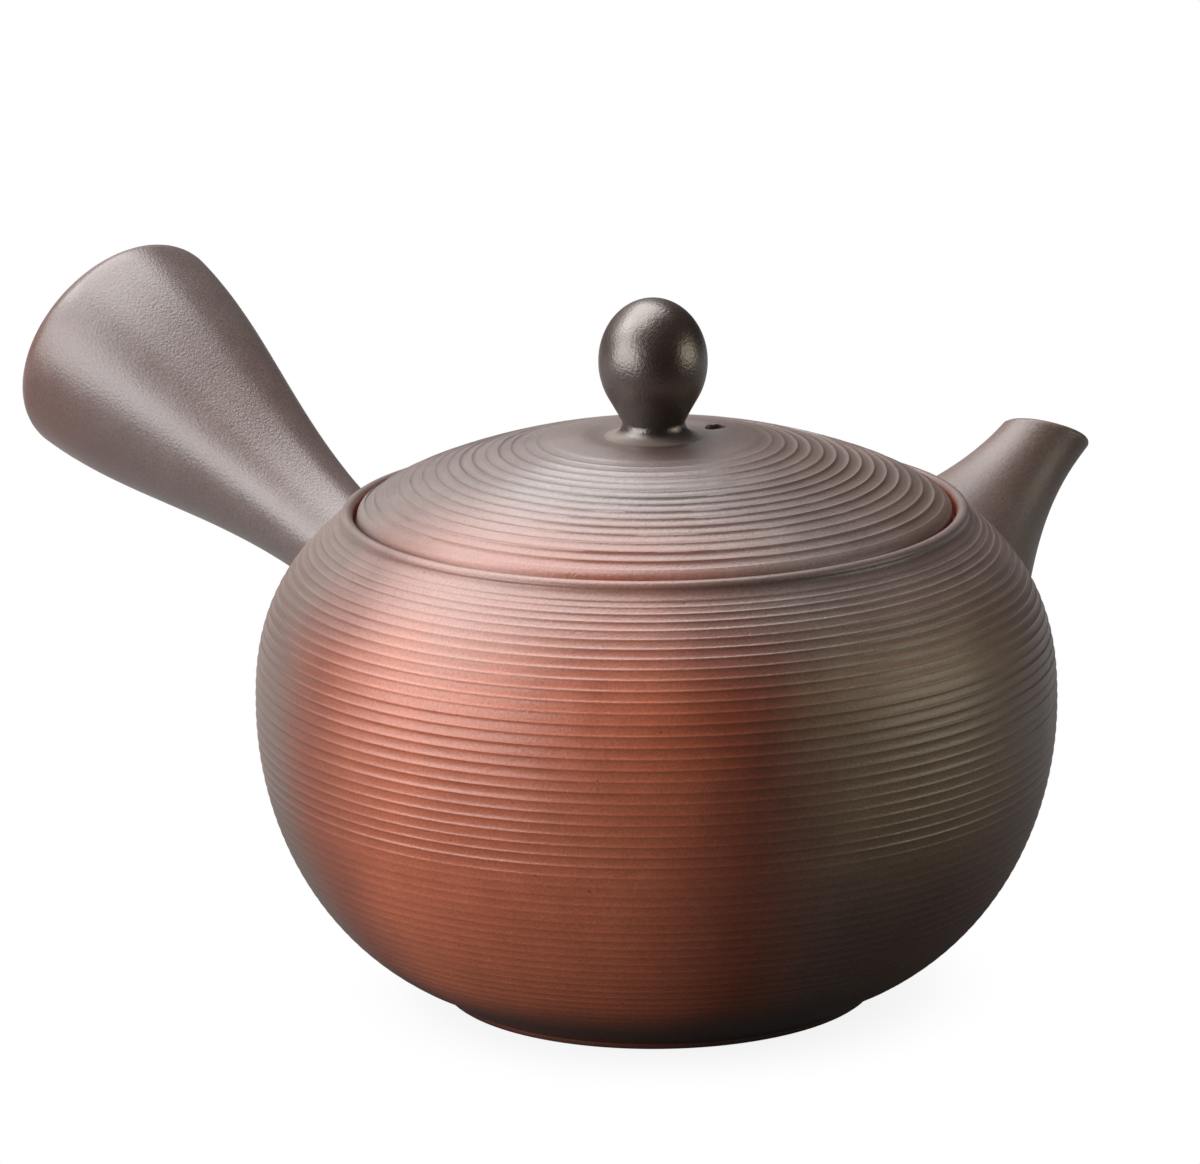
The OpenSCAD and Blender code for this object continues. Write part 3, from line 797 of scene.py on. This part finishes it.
def grain(tree, shader, place, skin, roughness, bump_depth, sheen=0.85, speckle=0.16):
    """Grit, pores and iron specks, which fired stoneware shows in its skin at every scale.

    The grit of this clay is under 0.1 mm, too fine to show, so it is drawn at the coarser size that
    the finish gives."""
    look = finish()
    drift, speck_gap, speck_rarity, speck_strength = 0.07, 2.2 * MM, 0.82, 0.6
    fine = add(tree, "ShaderNodeTexNoise", {"Vector": place, "Scale": 1 / look.grit, "Detail": 2.0})
    cloud = add(tree, "ShaderNodeTexNoise", {"Vector": place, "Scale": 1 / (6 * MM), "Detail": 4.0})
    for pattern, swing in ((fine, speckle), (cloud, drift)):
        tone = add(tree, "ShaderNodeMapRange", {
            "Value": pattern, "From Min": 0.3, "From Max": 0.7, "To Min": 1 - swing, "To Max": 1 + swing,
        })
        skin = add(tree, "ShaderNodeVectorMath", {0: skin, "Scale": tone}, operation="SCALE")
    cells = add(tree, "ShaderNodeTexVoronoi", {"Vector": place, "Scale": 1 / speck_gap, "Randomness": 1.0})
    spot = add(tree, "ShaderNodeMapRange", {
        "Value": cells.outputs["Distance"], "From Min": 0.05, "From Max": 0.1, "To Min": 1.0, "To Max": 0.0,
    })
    chance = add(tree, "ShaderNodeSeparateColor", {"Color": cells.outputs["Color"]})
    rare = add(tree, "ShaderNodeMath", {
        0: chance.outputs["Red"], 1: speck_rarity,
    }, operation="GREATER_THAN")
    speck = add(tree, "ShaderNodeMath", {0: spot, 1: rare}, operation="MULTIPLY")
    faint = add(tree, "ShaderNodeMath", {0: speck, 1: speck_strength}, operation="MULTIPLY")
    mixed = add(tree, "ShaderNodeMix", {0: faint, 6: skin, 7: look.speck}, data_type="RGBA")
    rough = add(tree, "ShaderNodeMapRange", {
        "Value": cloud, "From Min": 0.25, "From Max": 0.75,
        "To Min": roughness - 0.04, "To Max": roughness + 0.04,
    })
    bump = add(tree, "ShaderNodeBump", {"Height": fine, "Distance": bump_depth, "Strength": 1.0})
    tree.links.new(mixed.outputs[2], shader.inputs["Base Color"])
    tree.links.new(rough.outputs[0], shader.inputs["Roughness"])
    tree.links.new(bump.outputs[0], shader.inputs["Normal"])
    shader.inputs["Specular IOR Level"].default_value = sheen


def turned_from(tree, place, direction, waver):
    """Angle round the pot from a direction, with a border that wavers as a flame does."""
    ahead = (math.cos(direction), math.sin(direction), 0)
    flat = add(tree, "ShaderNodeVectorMath", {0: place, 1: (1, 1, 0)}, operation="MULTIPLY")
    level = add(tree, "ShaderNodeVectorMath", {0: flat}, operation="NORMALIZE")
    facing = add(tree, "ShaderNodeVectorMath", {0: level, 1: ahead}, operation="DOT_PRODUCT")
    away = add(tree, "ShaderNodeMath", {0: facing.outputs["Value"]}, operation="ARCCOSINE")
    cloud = add(tree, "ShaderNodeTexNoise", {"Vector": place, "Scale": 1 / (38 * MM), "Detail": 2.0})
    swing = add(tree, "ShaderNodeMath", {0: cloud, 1: 0.5}, operation="SUBTRACT")
    return add(tree, "ShaderNodeMath", {0: swing, 1: waver, 2: away}, operation="MULTIPLY_ADD")


def inside_or(tree, outside):
    """The outside colour, or bare clay where the piece says that it is inside."""
    inside = add(tree, "ShaderNodeAttribute", attribute_name="inside").outputs["Fac"]
    skin = add(tree, "ShaderNodeMix", {0: inside, 6: outside, 7: finish().bare}, data_type="RGBA")
    return skin.outputs[2]


def combed_body_clay():
    """Flashed stoneware, combed on the wheel: satin, red where the flame was clean, grey-brown elsewhere."""
    look = finish()
    material, tree, shader, place = clay_tree("flashed_stoneware_combed")
    # Partly a greener tint of the reduced clay, partly painted highlight: the paler olive lies at mid height
    # where the right lamp's sheen falls
    olive_highlight_side = add(tree, "ShaderNodeMapRange", {
        "Value": turned_from(tree, place, look.olive_highlight_turn, waver=0.3), "From Min": 0.1, "From Max": 0.6,
        "To Min": 1.0, "To Max": 0.0,
    }, interpolation_type="SMOOTHSTEP")
    height = add(tree, "ShaderNodeSeparateXYZ", {"Vector": place}).outputs["Z"]
    above = add(tree, "ShaderNodeMapRange", {
        "Value": height, "From Min": 20 * MM, "From Max": 40 * MM,
    }, interpolation_type="SMOOTHSTEP")
    tall = add(tree, "ShaderNodeMapRange", {
        "Value": height, "From Min": 52 * MM, "From Max": 66 * MM,
    }, interpolation_type="SMOOTHSTEP")
    belly = add(tree, "ShaderNodeMath", {0: above, 1: tall}, operation="SUBTRACT", use_clamp=True)
    olive = add(tree, "ShaderNodeMath", {0: olive_highlight_side, 1: belly}, operation="MULTIPLY")
    border = add(tree, "ShaderNodeMapRange", {
        "Value": turned_from(tree, place, look.flash_turn, waver=0.25), "From Min": look.flash_half - 0.35,
        "From Max": look.flash_half + 0.2,
    })
    inner = add(tree, "ShaderNodeMapRange", {
        "Value": border, "From Max": 0.62,
    }, interpolation_type="SMOOTHSTEP")
    outer = add(tree, "ShaderNodeMapRange", {
        "Value": border, "From Min": 0.45,
    }, interpolation_type="SMOOTHSTEP")
    smoke = add(tree, "ShaderNodeMath", {0: tall, 1: 0.6}, operation="MULTIPLY")
    # Painted shade: the skin is mixed towards the dark speck colour over the lowest 11 mm, standing in for
    # the shadow round the foot
    foot = add(tree, "ShaderNodeMapRange", {
        "Value": height, "From Min": 3 * MM, "From Max": 11 * MM, "To Min": 0.82, "To Max": 0.0,
    }, interpolation_type="SMOOTHSTEP")
    smoked = add(tree, "ShaderNodeMix", {0: olive, 6: look.grey, 7: look.olive}, data_type="RGBA").outputs[2]
    skin = look.red
    for share, tint in ((inner, look.ember), (outer, smoked), (smoke, look.mauve), (foot, look.speck)):
        skin = add(tree, "ShaderNodeMix", {0: share, 6: skin, 7: tint}, data_type="RGBA").outputs[2]
    grain(tree, shader, place, inside_or(tree, skin), roughness=0.37, bump_depth=0.042 * MM)
    return material


def lid_clay():
    """Flashed stoneware with turned rings: paler and greyer than the body, with a breath of red in front."""
    look = finish()
    s = shape()
    material, tree, shader, place = clay_tree("flashed_stoneware_turned")
    red = add(tree, "ShaderNodeMapRange", {
        "Value": turned_from(tree, place, look.flash_turn, waver=0.5), "From Min": look.flash_half - 0.5,
        "From Max": look.flash_half + 0.4, "To Min": 0.85, "To Max": 0.0,
    }, interpolation_type="SMOOTHSTEP")
    # Partly grey-brown reduced clay, partly painted shade: the lid turns darker and browner on the spout's
    # side, which the main lamps leave dim
    brown = add(tree, "ShaderNodeMapRange", {
        "Value": turned_from(tree, place, look.brown_shade_turn, waver=0.3), "From Min": 0.3, "From Max": 1.3,
        "To Min": 0.9, "To Max": 0.0,
    }, interpolation_type="SMOOTHSTEP")
    flat = add(tree, "ShaderNodeVectorMath", {0: place, 1: (1, 1, 0)}, operation="MULTIPLY")
    radius = add(tree, "ShaderNodeVectorMath", {0: flat}, operation="LENGTH").outputs["Value"]
    rim = add(tree, "ShaderNodeMapRange", {"Value": radius, "From Min": 25 * MM, "From Max": 40 * MM})
    flushed = add(tree, "ShaderNodeMath", {0: red, 1: rim}, operation="MULTIPLY")
    blush = [(warm + dark) / 2 for warm, dark in zip(look.red, look.ember)]
    stain = add(tree, "ShaderNodeMapRange", {
        "Value": radius, "From Min": s.knob_slip_r, "From Max": s.ring_start_r, "To Min": 1.0, "To Max": 0.0,
    }, interpolation_type="SMOOTHSTEP")
    # Painted shadow: a dark patch on the lid beside the knob stands in for the knob's shadow and its dark
    # reflection in the lid
    knob_shadow_centre = 9.8 * MM * Vector((math.cos(look.knob_shadow_turn), math.sin(look.knob_shadow_turn), 0))
    beside = add(tree, "ShaderNodeVectorMath", {0: flat, 1: knob_shadow_centre}, operation="DISTANCE").outputs["Value"]
    painted_shade = add(tree, "ShaderNodeMapRange", {
        "Value": beside, "From Min": 2 * MM, "From Max": 8 * MM, "To Min": 0.7, "To Max": 0.0,
    }, interpolation_type="SMOOTHSTEP")
    skin = look.mauve
    for share, tint in ((brown, look.grey), (flushed, blush), (stain, look.stain), (painted_shade, look.speck)):
        skin = add(tree, "ShaderNodeMix", {0: share, 6: skin, 7: tint}, data_type="RGBA").outputs[2]
    grain(tree, shader, place, inside_or(tree, skin), roughness=0.35, bump_depth=0.042 * MM)
    return material


def wiped_clay(name, skin, roughness, sheen, smoke, scorched=None):
    """Stoneware that was wiped smooth by hand: an even, satin grey-mauve skin with fine grit.

    smoke is the least and most share of grey-brown in the skin's colour, and scorched the axis of a piece
    whose far, lower end turns dark red-brown: partly flashing from the flame, partly painted shade."""
    look = finish()
    material, tree, shader, place = clay_tree(name)
    cloud = add(tree, "ShaderNodeTexNoise", {"Vector": place, "Scale": 1 / (25 * MM), "Detail": 3.0})
    share = add(tree, "ShaderNodeMapRange", {
        "Value": cloud, "From Min": 0.35, "From Max": 0.7, "To Min": smoke[0], "To Max": smoke[1],
    })
    skin = add(tree, "ShaderNodeMix", {0: share, 6: skin, 7: look.grey}, data_type="RGBA")
    # Partly flashing, partly painted shade: the handle's far, lower end and underside are mixed towards dark
    # red-brown
    if scorched:
        lean = Vector(0.55 * scorched.along - 0.83 * scorched.over)
        reach = add(tree, "ShaderNodeVectorMath", {0: place, 1: Vector(scorched.seat)}, operation="SUBTRACT")
        along = add(tree, "ShaderNodeVectorMath", {0: reach, 1: lean}, operation="DOT_PRODUCT")
        flame = add(tree, "ShaderNodeMapRange", {
            "Value": along.outputs["Value"], "From Min": 20 * MM, "From Max": 44 * MM, "To Max": 0.95,
        }, interpolation_type="SMOOTHSTEP")
        skin = add(tree, "ShaderNodeMix", {0: flame, 6: skin.outputs[2], 7: look.scorch_and_shade}, data_type="RGBA")
    grain(tree, shader, place, skin.outputs[2], roughness, 0.045 * MM, sheen, speckle=0.2)
    return material


def burnished_clay():
    """Stoneware that was rubbed with a smooth tool before firing: dark, dense and softly shiny.

    It is painted darker towards the neck, as shade, and turns to slip at the foot."""
    look = finish()
    material, tree, shader, place = clay_tree("burnished_stoneware")
    # The tool's strokes run round the ball, so the pattern is drawn close up and down and long round it
    stroke = add(tree, "ShaderNodeMapping", {"Vector": place, "Scale": (1.0, 1.0, 9.0)})
    streak = add(tree, "ShaderNodeTexNoise", {"Vector": stroke, "Scale": 1 / (4 * MM), "Detail": 3.0})
    tone = add(tree, "ShaderNodeMapRange", {
        "Value": streak, "From Min": 0.3, "From Max": 0.7, "To Min": 0.8, "To Max": 1.2,
    })
    foot_z = float(lid_top_z(shape(), shape().knob_slip_r))
    height = add(tree, "ShaderNodeSeparateXYZ", {"Vector": place}).outputs["Z"]
    rubbed = add(tree, "ShaderNodeMapRange", {
        "Value": height, "From Min": foot_z + 0.1 * MM, "From Max": foot_z + 1.2 * MM,
    }, interpolation_type="SMOOTHSTEP")
    # Painted shade: the ball's colour darkens towards the neck and lower half, which face the lid and miss
    # the lamps
    painted_neck_shade = add(tree, "ShaderNodeMapRange", {
        "Value": height, "From Min": foot_z + 4 * MM, "From Max": foot_z + 10 * MM,
        "To Min": 0.35, "To Max": 1.0,
    }, interpolation_type="SMOOTHSTEP")
    ball = look.burnished[:3]
    for shade in (tone, painted_neck_shade):
        ball = add(tree, "ShaderNodeVectorMath", {0: ball, "Scale": shade}, operation="SCALE")
    skin = add(tree, "ShaderNodeMix", {0: rubbed, 6: look.stain, 7: ball}, data_type="RGBA")
    grain(tree, shader, place, skin.outputs[2], roughness=0.34, bump_depth=0.05 * MM, sheen=0.9, speckle=0.08)
    dull = add(tree, "ShaderNodeMapRange", {"Value": rubbed, "To Min": 0.26, "To Max": 0.0})
    satin = shader.inputs["Roughness"].links[0].from_socket
    rough = add(tree, "ShaderNodeMath", {0: satin, 1: dull}, operation="ADD")
    tree.links.new(rough.outputs[0], shader.inputs["Roughness"])
    # The rubbed skin is dense and mirrors more than plain stoneware with its IOR of about 1.5
    shader.inputs["IOR"].default_value = 1.9
    shader.inputs["Specular Tint"].default_value = look.lustre
    return material


def bare_clay():
    """Stoneware inside the closed pot, where no smoke reached it: plain red-brown and dry."""
    look = finish()
    material, tree, shader, place = clay_tree("oxidised_stoneware_pierced")
    cloud = add(tree, "ShaderNodeTexNoise", {"Vector": place, "Scale": 1 / (12 * MM), "Detail": 3.0})
    share = add(tree, "ShaderNodeMapRange", {
        "Value": cloud, "From Min": 0.4, "From Max": 0.7, "To Max": 0.35,
    })
    skin = add(tree, "ShaderNodeMix", {0: share, 6: look.bare, 7: look.grey}, data_type="RGBA")
    grain(tree, shader, place, skin.outputs[2], roughness=0.5, bump_depth=0.02 * MM)
    return material


# Operators


class TEAPOT_OT_body(bpy.types.Operator):
    """Turns and combs the body, and opens its throat to the spout"""

    bl_idname = "teapot.body"
    bl_label = "Body"

    def execute(self, context):
        s = shape()
        clay = combed_body_clay()
        piece = show("turned_body", body_outline(s).mesh("turned_body"))
        spout = Axis(s, s.spout_seat_z, s.spout_angle, 0.0)
        handle = Axis(s, s.handle_seat_z, s.handle_angle, s.handle_turn)
        grow(piece, turning_tree(), steps_round=s.steps_round, comb_depth=s.rib_depth, unevenness=0.9,
             spout_seat=spout.seat.tolist(), spout_wipe=s.spout_root_r * 1.05,
             handle_seat=handle.seat.tolist(), handle_wipe=s.handle_neck_r * 1.25, clay=clay)
        steps, reach = 64, 2 * s.throat_r
        spokes = spout.spokes(steps)
        ends = [spout.at(np.full(steps, t), np.full(steps, r), spokes)
                for t, r in ((-reach, 0), (-reach, s.throat_r), (reach, s.throat_r), (reach, 0))]
        pierce(piece, show("throat_cutter", loft("throat_cutter", ends, loop=False)))
        piece.data.set_sharp_from_angle(angle=TURNED_CREASE)
        settle(piece, clay, "body", "pot")
        return {"FINISHED"}


class TEAPOT_OT_lid(bpy.types.Operator):
    """Turns the lid with its rings and flange, and drills the vent"""

    bl_idname = "teapot.lid"
    bl_label = "Lid"

    def execute(self, context):
        s = shape()
        clay = lid_clay()
        piece = show("turned_lid", lid_outline(s).mesh("turned_lid"))
        grow(piece, turning_tree(), steps_round=s.steps_round, comb_depth=s.ring_depth, unevenness=0.7,
             clay=clay, **UNWIPED)
        middle = s.vent_r * np.array([math.cos(s.vent_turn), math.sin(s.vent_turn)])
        top_z = float(lid_top_z(s, s.vent_r))
        bore, mouth, soft = 0.5 * s.vent_d, 0.57 * s.vent_d, 0.25 * MM
        low_z, high_z = top_z - 2 * s.lid_wall, top_z + s.lid_wall
        steps = 40
        turn = np.linspace(0, math.tau, steps, endpoint=False)
        rings = [np.stack([middle[0] + r * np.cos(turn), middle[1] + r * np.sin(turn), np.full(steps, z)], 1)
                 for r, z in ((0, low_z), (bore, low_z), (bore, top_z - soft),
                              (mouth, top_z + soft), (mouth, high_z), (0, high_z))]
        pierce(piece, show("vent_cutter", loft("vent_cutter", rings, loop=False)))
        piece.data.set_sharp_from_angle(angle=TURNED_CREASE)
        settle(piece, clay, "lid", "lid")
        return {"FINISHED"}


class TEAPOT_OT_knob(bpy.types.Operator):
    """Turns the ball knob and smears the slip round its foot"""

    bl_idname = "teapot.knob"
    bl_label = "Knob"

    def execute(self, context):
        s = shape()
        clay = burnished_clay()
        piece = show("burnished_knob", knob_outline(s).mesh("burnished_knob"))
        grow(piece, turning_tree(), steps_round=96, comb_depth=0.0, unevenness=0.0, clay=clay, **UNWIPED)
        piece.data.set_sharp_from_angle(angle=FINE_CREASE)
        settle(piece, clay, "knob", "lid")
        return {"FINISHED"}


class TEAPOT_OT_spout(bpy.types.Operator):
    """Sweeps the spout from its wide root to its slanted mouth"""

    bl_idname = "teapot.spout"
    bl_label = "Spout"

    def execute(self, context):
        s = shape()
        axis = Axis(s, s.spout_seat_z, s.spout_angle, 0.0)
        bend_share, root_share, throat_share = 0.64, 0.06, 0.36
        root = bend_share * s.spout_root_r
        line = sweep(((s.spout_root_r, -root), (s.spout_root_r, -root_share * s.spout_root_r),
                      (s.spout_mouth_r, throat_share * s.spout_l), (s.spout_mouth_r, s.spout_l)), 80)

        def outer(t):
            return np.interp(t, line[:, 1], line[:, 0])

        def inner(t):
            share = np.clip((t + root) / (s.spout_l + root), 0, 1)
            return outer(t) - s.spout_root_t - (s.spout_lip_t - s.spout_root_t) * share

        steps = 112
        spokes = axis.spokes(steps)
        tilt = np.array([math.sin(s.mouth_tip) * math.cos(s.mouth_lean), math.sin(s.mouth_lean),
                         math.cos(s.mouth_tip) * math.cos(s.mouth_lean)])
        round_r = s.spout_lip_t / 2
        middle_r = s.spout_mouth_r - round_r
        end = s.spout_l - middle_r * (spokes @ tilt) / (axis.along @ tilt) - round_r
        lip = [(middle_r + round_r * math.cos(a), round_r * math.sin(a))
               for a in np.radians(np.arange(20, 180, 20))]
        piece = show("luted_spout", luted_tube("luted_spout", s, axis, outer, inner, lip, end, steps))
        clay = wiped_clay("reduced_stoneware_wiped", finish().mauve, roughness=0.45, sheen=0.85,
                          smoke=(0.4, 0.9))
        settle(piece, clay, "spout", "pot")
        return {"FINISHED"}


class TEAPOT_OT_handle(bpy.types.Operator):
    """Sweeps the hollow handle from its neck to its rolled lip"""

    bl_idname = "teapot.handle"
    bl_label = "Handle"

    def execute(self, context):
        s = shape()
        axis = Axis(s, s.handle_seat_z, s.handle_angle, s.handle_turn)
        lip_r = s.handle_lip_t / 2
        waist_share, flare_share = 0.4, 0.67
        line = sweep(((s.handle_neck_r, 0), (s.handle_neck_r - s.handle_waist, waist_share * s.handle_l),
                      (s.handle_end_r - s.handle_flare, flare_share * s.handle_l),
                      (s.handle_end_r, s.handle_l - lip_r)), 80)

        def outer(t):
            return np.interp(t, line[:, 1], line[:, 0])

        def inner(t):
            share = np.clip((t - s.handle_l + s.handle_lip_l) / (s.handle_lip_l - lip_r), 0, 1)
            ease = share * share * (3 - 2 * share)
            return outer(t) - s.handle_wall - (s.handle_lip_t - s.handle_wall) * ease

        steps = 128
        end = np.full(steps, s.handle_l - lip_r)
        lip = [(s.handle_end_r - lip_r + lip_r * math.cos(a), lip_r * math.sin(a))
               for a in np.radians(np.arange(12, 180, 12))]
        piece = show("luted_handle", luted_tube("luted_handle", s, axis, outer, inner, lip, end, steps))
        clay = wiped_clay("scorched_stoneware_wiped", finish().dusk, roughness=0.34, sheen=1.0,
                          smoke=(0.25, 0.6), scorched=axis)
        settle(piece, clay, "handle", "pot")
        return {"FINISHED"}


class TEAPOT_OT_strainer(bpy.types.Operator):
    """Domes and pierces the strainer behind the spout"""

    bl_idname = "teapot.strainer"
    bl_label = "Strainer"

    def execute(self, context):
        s = shape()
        axis = Axis(s, s.spout_seat_z, s.spout_angle, 0.0)
        centre = axis.seat + s.strainer_offset * axis.along
        steps = 64
        spokes = axis.spokes(steps)

        def at(turn, radius):
            return centre + radius * (np.sin(turn)[:, None] * spokes - np.cos(turn)[:, None] * axis.along)

        bedded = s.wall - 0.8 * MM
        rim = met(s, bedded, np.full(steps, 0.2), np.full(steps, 2.2), lambda turn: at(turn, s.strainer_r))
        rings = [at(rim * share, s.strainer_r) for share in np.linspace(0, 1, 22)]
        rings += [at(rim * share, s.strainer_r - s.strainer_t) for share in np.linspace(1, 0, 22)]
        clay = bare_clay()
        piece = show("pierced_strainer", loft("pierced_strainer", rings, loop=False))
        grow(piece, dome_tree(), hole_diameter=s.strain_d, hole_pitch=s.strain_pitch,
             reach=s.throat_r - s.strain_d / 2, centre=centre.tolist(), tilt=math.pi / 2 - s.spout_angle,
             clay=clay)
        piece.data.set_sharp_from_angle(angle=FINE_CREASE)
        settle(piece, clay, "strainer", "pot")
        return {"FINISHED"}


def towards(turn, height):
    """Direction from the pot to a place that is turned from straight in front and raised from the level."""
    return Vector((math.sin(turn) * math.cos(height), -math.cos(turn) * math.cos(height), math.sin(height)))


class TEAPOT_OT_stage(bpy.types.Operator):
    """Sets up the camera, the soft lamps, the white surroundings and the floor"""

    bl_idname = "teapot.stage"
    bl_label = "Stage"

    def execute(self, context):
        stage = context.scene.teapot_stage
        target = Vector(stage.target)
        back = towards(stage.view_turn, stage.view_height)
        right = Vector((math.cos(stage.view_turn), math.sin(stage.view_turn), 0))
        up = back.cross(right)
        tilted = math.cos(stage.view_roll) * right + math.sin(stage.view_roll) * up
        upright = back.cross(tilted)
        lens = bpy.data.cameras.new("view")
        lens.lens, lens.sensor_width = stage.lens, stage.sensor
        camera = bpy.data.objects.new("view", lens)
        turn = Matrix((tilted, upright, back)).transposed().to_4x4()
        camera.matrix_world = Matrix.Translation(target + stage.view_distance * back) @ turn
        context.scene.collection.objects.link(camera)
        context.scene.camera = camera
        ahead = (-math.sin(stage.view_turn), math.cos(stage.view_turn), 0)
        for name, turned, height, size, glow, tint in LAMPS:
            self.soft_box(context, name, stage.view_turn + math.radians(turned), math.radians(height),
                          stage.lamp_distance, size, glow, tint)
        self.surroundings(context, ahead)
        half = stage.floor_half
        mesh = bpy.data.meshes.new("floor")
        corners = [(-half, -half, 0), (half, -half, 0), (half, half, 0), (-half, half, 0)]
        mesh.from_pydata(corners, [], [(0, 1, 2, 3)])
        floor = show("floor", mesh)
        floor.location.z = -FLOOR_DROP
        floor.data.materials.append(self.floor_paper(ahead))
        context.scene.view_settings.view_transform = "Standard"
        return {"FINISHED"}

    def soft_box(self, context, name, turn, height, distance, size, glow, tint):
        """A soft box that faces the pot from a direction, with the radiance that its glow gives."""
        lamp = bpy.data.lights.new(name, "AREA")
        lamp.shape, lamp.size, lamp.size_y = "RECTANGLE", *size
        lamp.energy, lamp.color = math.pi * size[0] * size[1] * glow, linear(tint)[:3]
        away = towards(turn, height)
        box = bpy.data.objects.new(name, lamp)
        turned = away.to_track_quat("Z", "Y").to_matrix().to_4x4()
        box.matrix_world = Matrix.Translation(Vector((0, 0, LAMP_AIM_Z)) + distance * away) @ turned
        box.visible_camera = False
        context.scene.collection.objects.link(box)

    def seen(self, tree, behind):
        """1 where a ray sees the white background: camera rays, and mirrored ones that go behind the pot."""
        path = add(tree, "ShaderNodeLightPath").outputs
        satin = add(tree, "ShaderNodeMath", {0: path["Is Glossy Ray"], 1: behind}, operation="MULTIPLY")
        clear = add(tree, "ShaderNodeMath", {0: path["Is Camera Ray"], 1: path["Is Transmission Ray"]},
                    operation="MAXIMUM")
        return add(tree, "ShaderNodeMath", {0: clear, 1: satin}, operation="MAXIMUM")

    def surroundings(self, context, ahead):
        """A room that is white behind the pot and dim round the camera."""
        world = bpy.data.worlds.new("white_backdrop")
        context.scene.world = world
        world.use_nodes = True
        tree = world.node_tree
        tree.nodes.clear()
        way = add(tree, "ShaderNodeTexCoord").outputs["Generated"]
        side = Matrix.Rotation(math.radians(35), 3, "Z") @ Vector(ahead)
        depth = add(tree, "ShaderNodeVectorMath", {0: way, 1: side}, operation="DOT_PRODUCT")
        beyond = add(tree, "ShaderNodeMapRange", {
            "Value": depth.outputs["Value"], "From Min": 0.4, "From Max": 0.9, "To Max": 0.8,
        }, interpolation_type="SMOOTHSTEP")
        rise = add(tree, "ShaderNodeSeparateXYZ", {"Vector": way}).outputs["Z"]
        high = add(tree, "ShaderNodeMapRange", {"Value": rise, "From Min": 0.0, "From Max": 0.4})
        behind = add(tree, "ShaderNodeMath", {0: beyond, 1: high}, operation="MULTIPLY")
        strength = add(tree, "ShaderNodeMapRange", {
            "Value": self.seen(tree, behind), "To Min": 0.06, "To Max": 1.0,
        })
        light = add(tree, "ShaderNodeBackground", {"Strength": strength})
        add(tree, "ShaderNodeOutputWorld", {"Surface": light})

    def floor_paper(self, ahead):
        """White background paper: it shows white and keeps the shadow, and throws little light back up."""
        material = bpy.data.materials.new("background_paper")
        material.use_nodes = True
        tree = material.node_tree
        tree.nodes.clear()
        place = add(tree, "ShaderNodeTexCoord").outputs["Object"]
        depth = add(tree, "ShaderNodeVectorMath", {0: place, 1: ahead}, operation="DOT_PRODUCT")
        behind = add(tree, "ShaderNodeMapRange", {
            "Value": depth.outputs["Value"], "From Min": -0.1, "From Max": 0.3, "To Max": 0.24,
        }, interpolation_type="SMOOTHSTEP")
        seen = self.seen(tree, behind)
        # Painted light and shade: the paper throws more light back up on the left, where the lamps light it,
        # than on the right
        beside = (ahead[1], -ahead[0], 0)
        aside = add(tree, "ShaderNodeVectorMath", {0: place, 1: beside}, operation="DOT_PRODUCT")
        right = add(tree, "ShaderNodeMapRange", {
            "Value": aside.outputs["Value"], "From Min": -0.2, "From Max": 0.05,
        })
        tone = linear("#7e7e7e")
        for share, tint in ((right, linear("#424242")), (seen, linear("#fafafa"))):
            tone = add(tree, "ShaderNodeMix", {0: share, 6: tone, 7: tint}, data_type="RGBA").outputs[2]
        paper = add(tree, "ShaderNodeBsdfDiffuse", {"Color": tone})
        glow = add(tree, "ShaderNodeEmission", {"Color": linear("#ffffff")})
        away = add(tree, "ShaderNodeVectorMath", {0: place}, operation="LENGTH")
        far = add(tree, "ShaderNodeMapRange", {
            "Value": away.outputs["Value"], "From Min": 26 * MM, "From Max": 48 * MM, "To Min": 0.87,
        }, interpolation_type="SMOOTHSTEP")
        share = add(tree, "ShaderNodeMath", {0: far, 1: seen}, operation="MULTIPLY")
        both = add(tree, "ShaderNodeMixShader", {0: share, 1: paper, 2: glow})
        add(tree, "ShaderNodeOutputMaterial", {"Surface": both})
        return material


PIECES = (
    TEAPOT_OT_body, TEAPOT_OT_spout, TEAPOT_OT_handle, TEAPOT_OT_strainer, TEAPOT_OT_lid, TEAPOT_OT_knob,
    TEAPOT_OT_stage,
)


class TEAPOT_PT_panel(bpy.types.Panel):
    """Lists the pieces of the teapot in the sidebar"""

    bl_idname = "TEAPOT_PT_panel"
    bl_label = "Teapot"
    bl_space_type = "VIEW_3D"
    bl_region_type = "UI"
    bl_category = "Teapot"

    def draw(self, context):
        for piece in PIECES:
            self.layout.operator(piece.bl_idname)


GROUPS = {"teapot_shape": TeapotShape, "teapot_finish": TeapotFinish, "teapot_stage": TeapotStage}


def register():
    """Registers the classes and hangs the sizes, colours and stage on the scene."""
    for made in (*GROUPS.values(), *PIECES, TEAPOT_PT_panel):
        bpy.utils.register_class(made)
    for name, group in GROUPS.items():
        setattr(bpy.types.Scene, name, PointerProperty(type=group))


def unregister():
    """Takes back what register did."""
    for name in GROUPS:
        delattr(bpy.types.Scene, name)
    for made in reversed((*GROUPS.values(), *PIECES, TEAPOT_PT_panel)):
        bpy.utils.unregister_class(made)


def main():
    """Makes the pieces and the stage."""
    register()
    bpy.ops.teapot.body()
    bpy.ops.teapot.spout()
    bpy.ops.teapot.handle()
    bpy.ops.teapot.strainer()
    bpy.ops.teapot.lid()
    bpy.ops.teapot.knob()
    bpy.ops.teapot.stage()


if __name__ == "__main__":
    main()
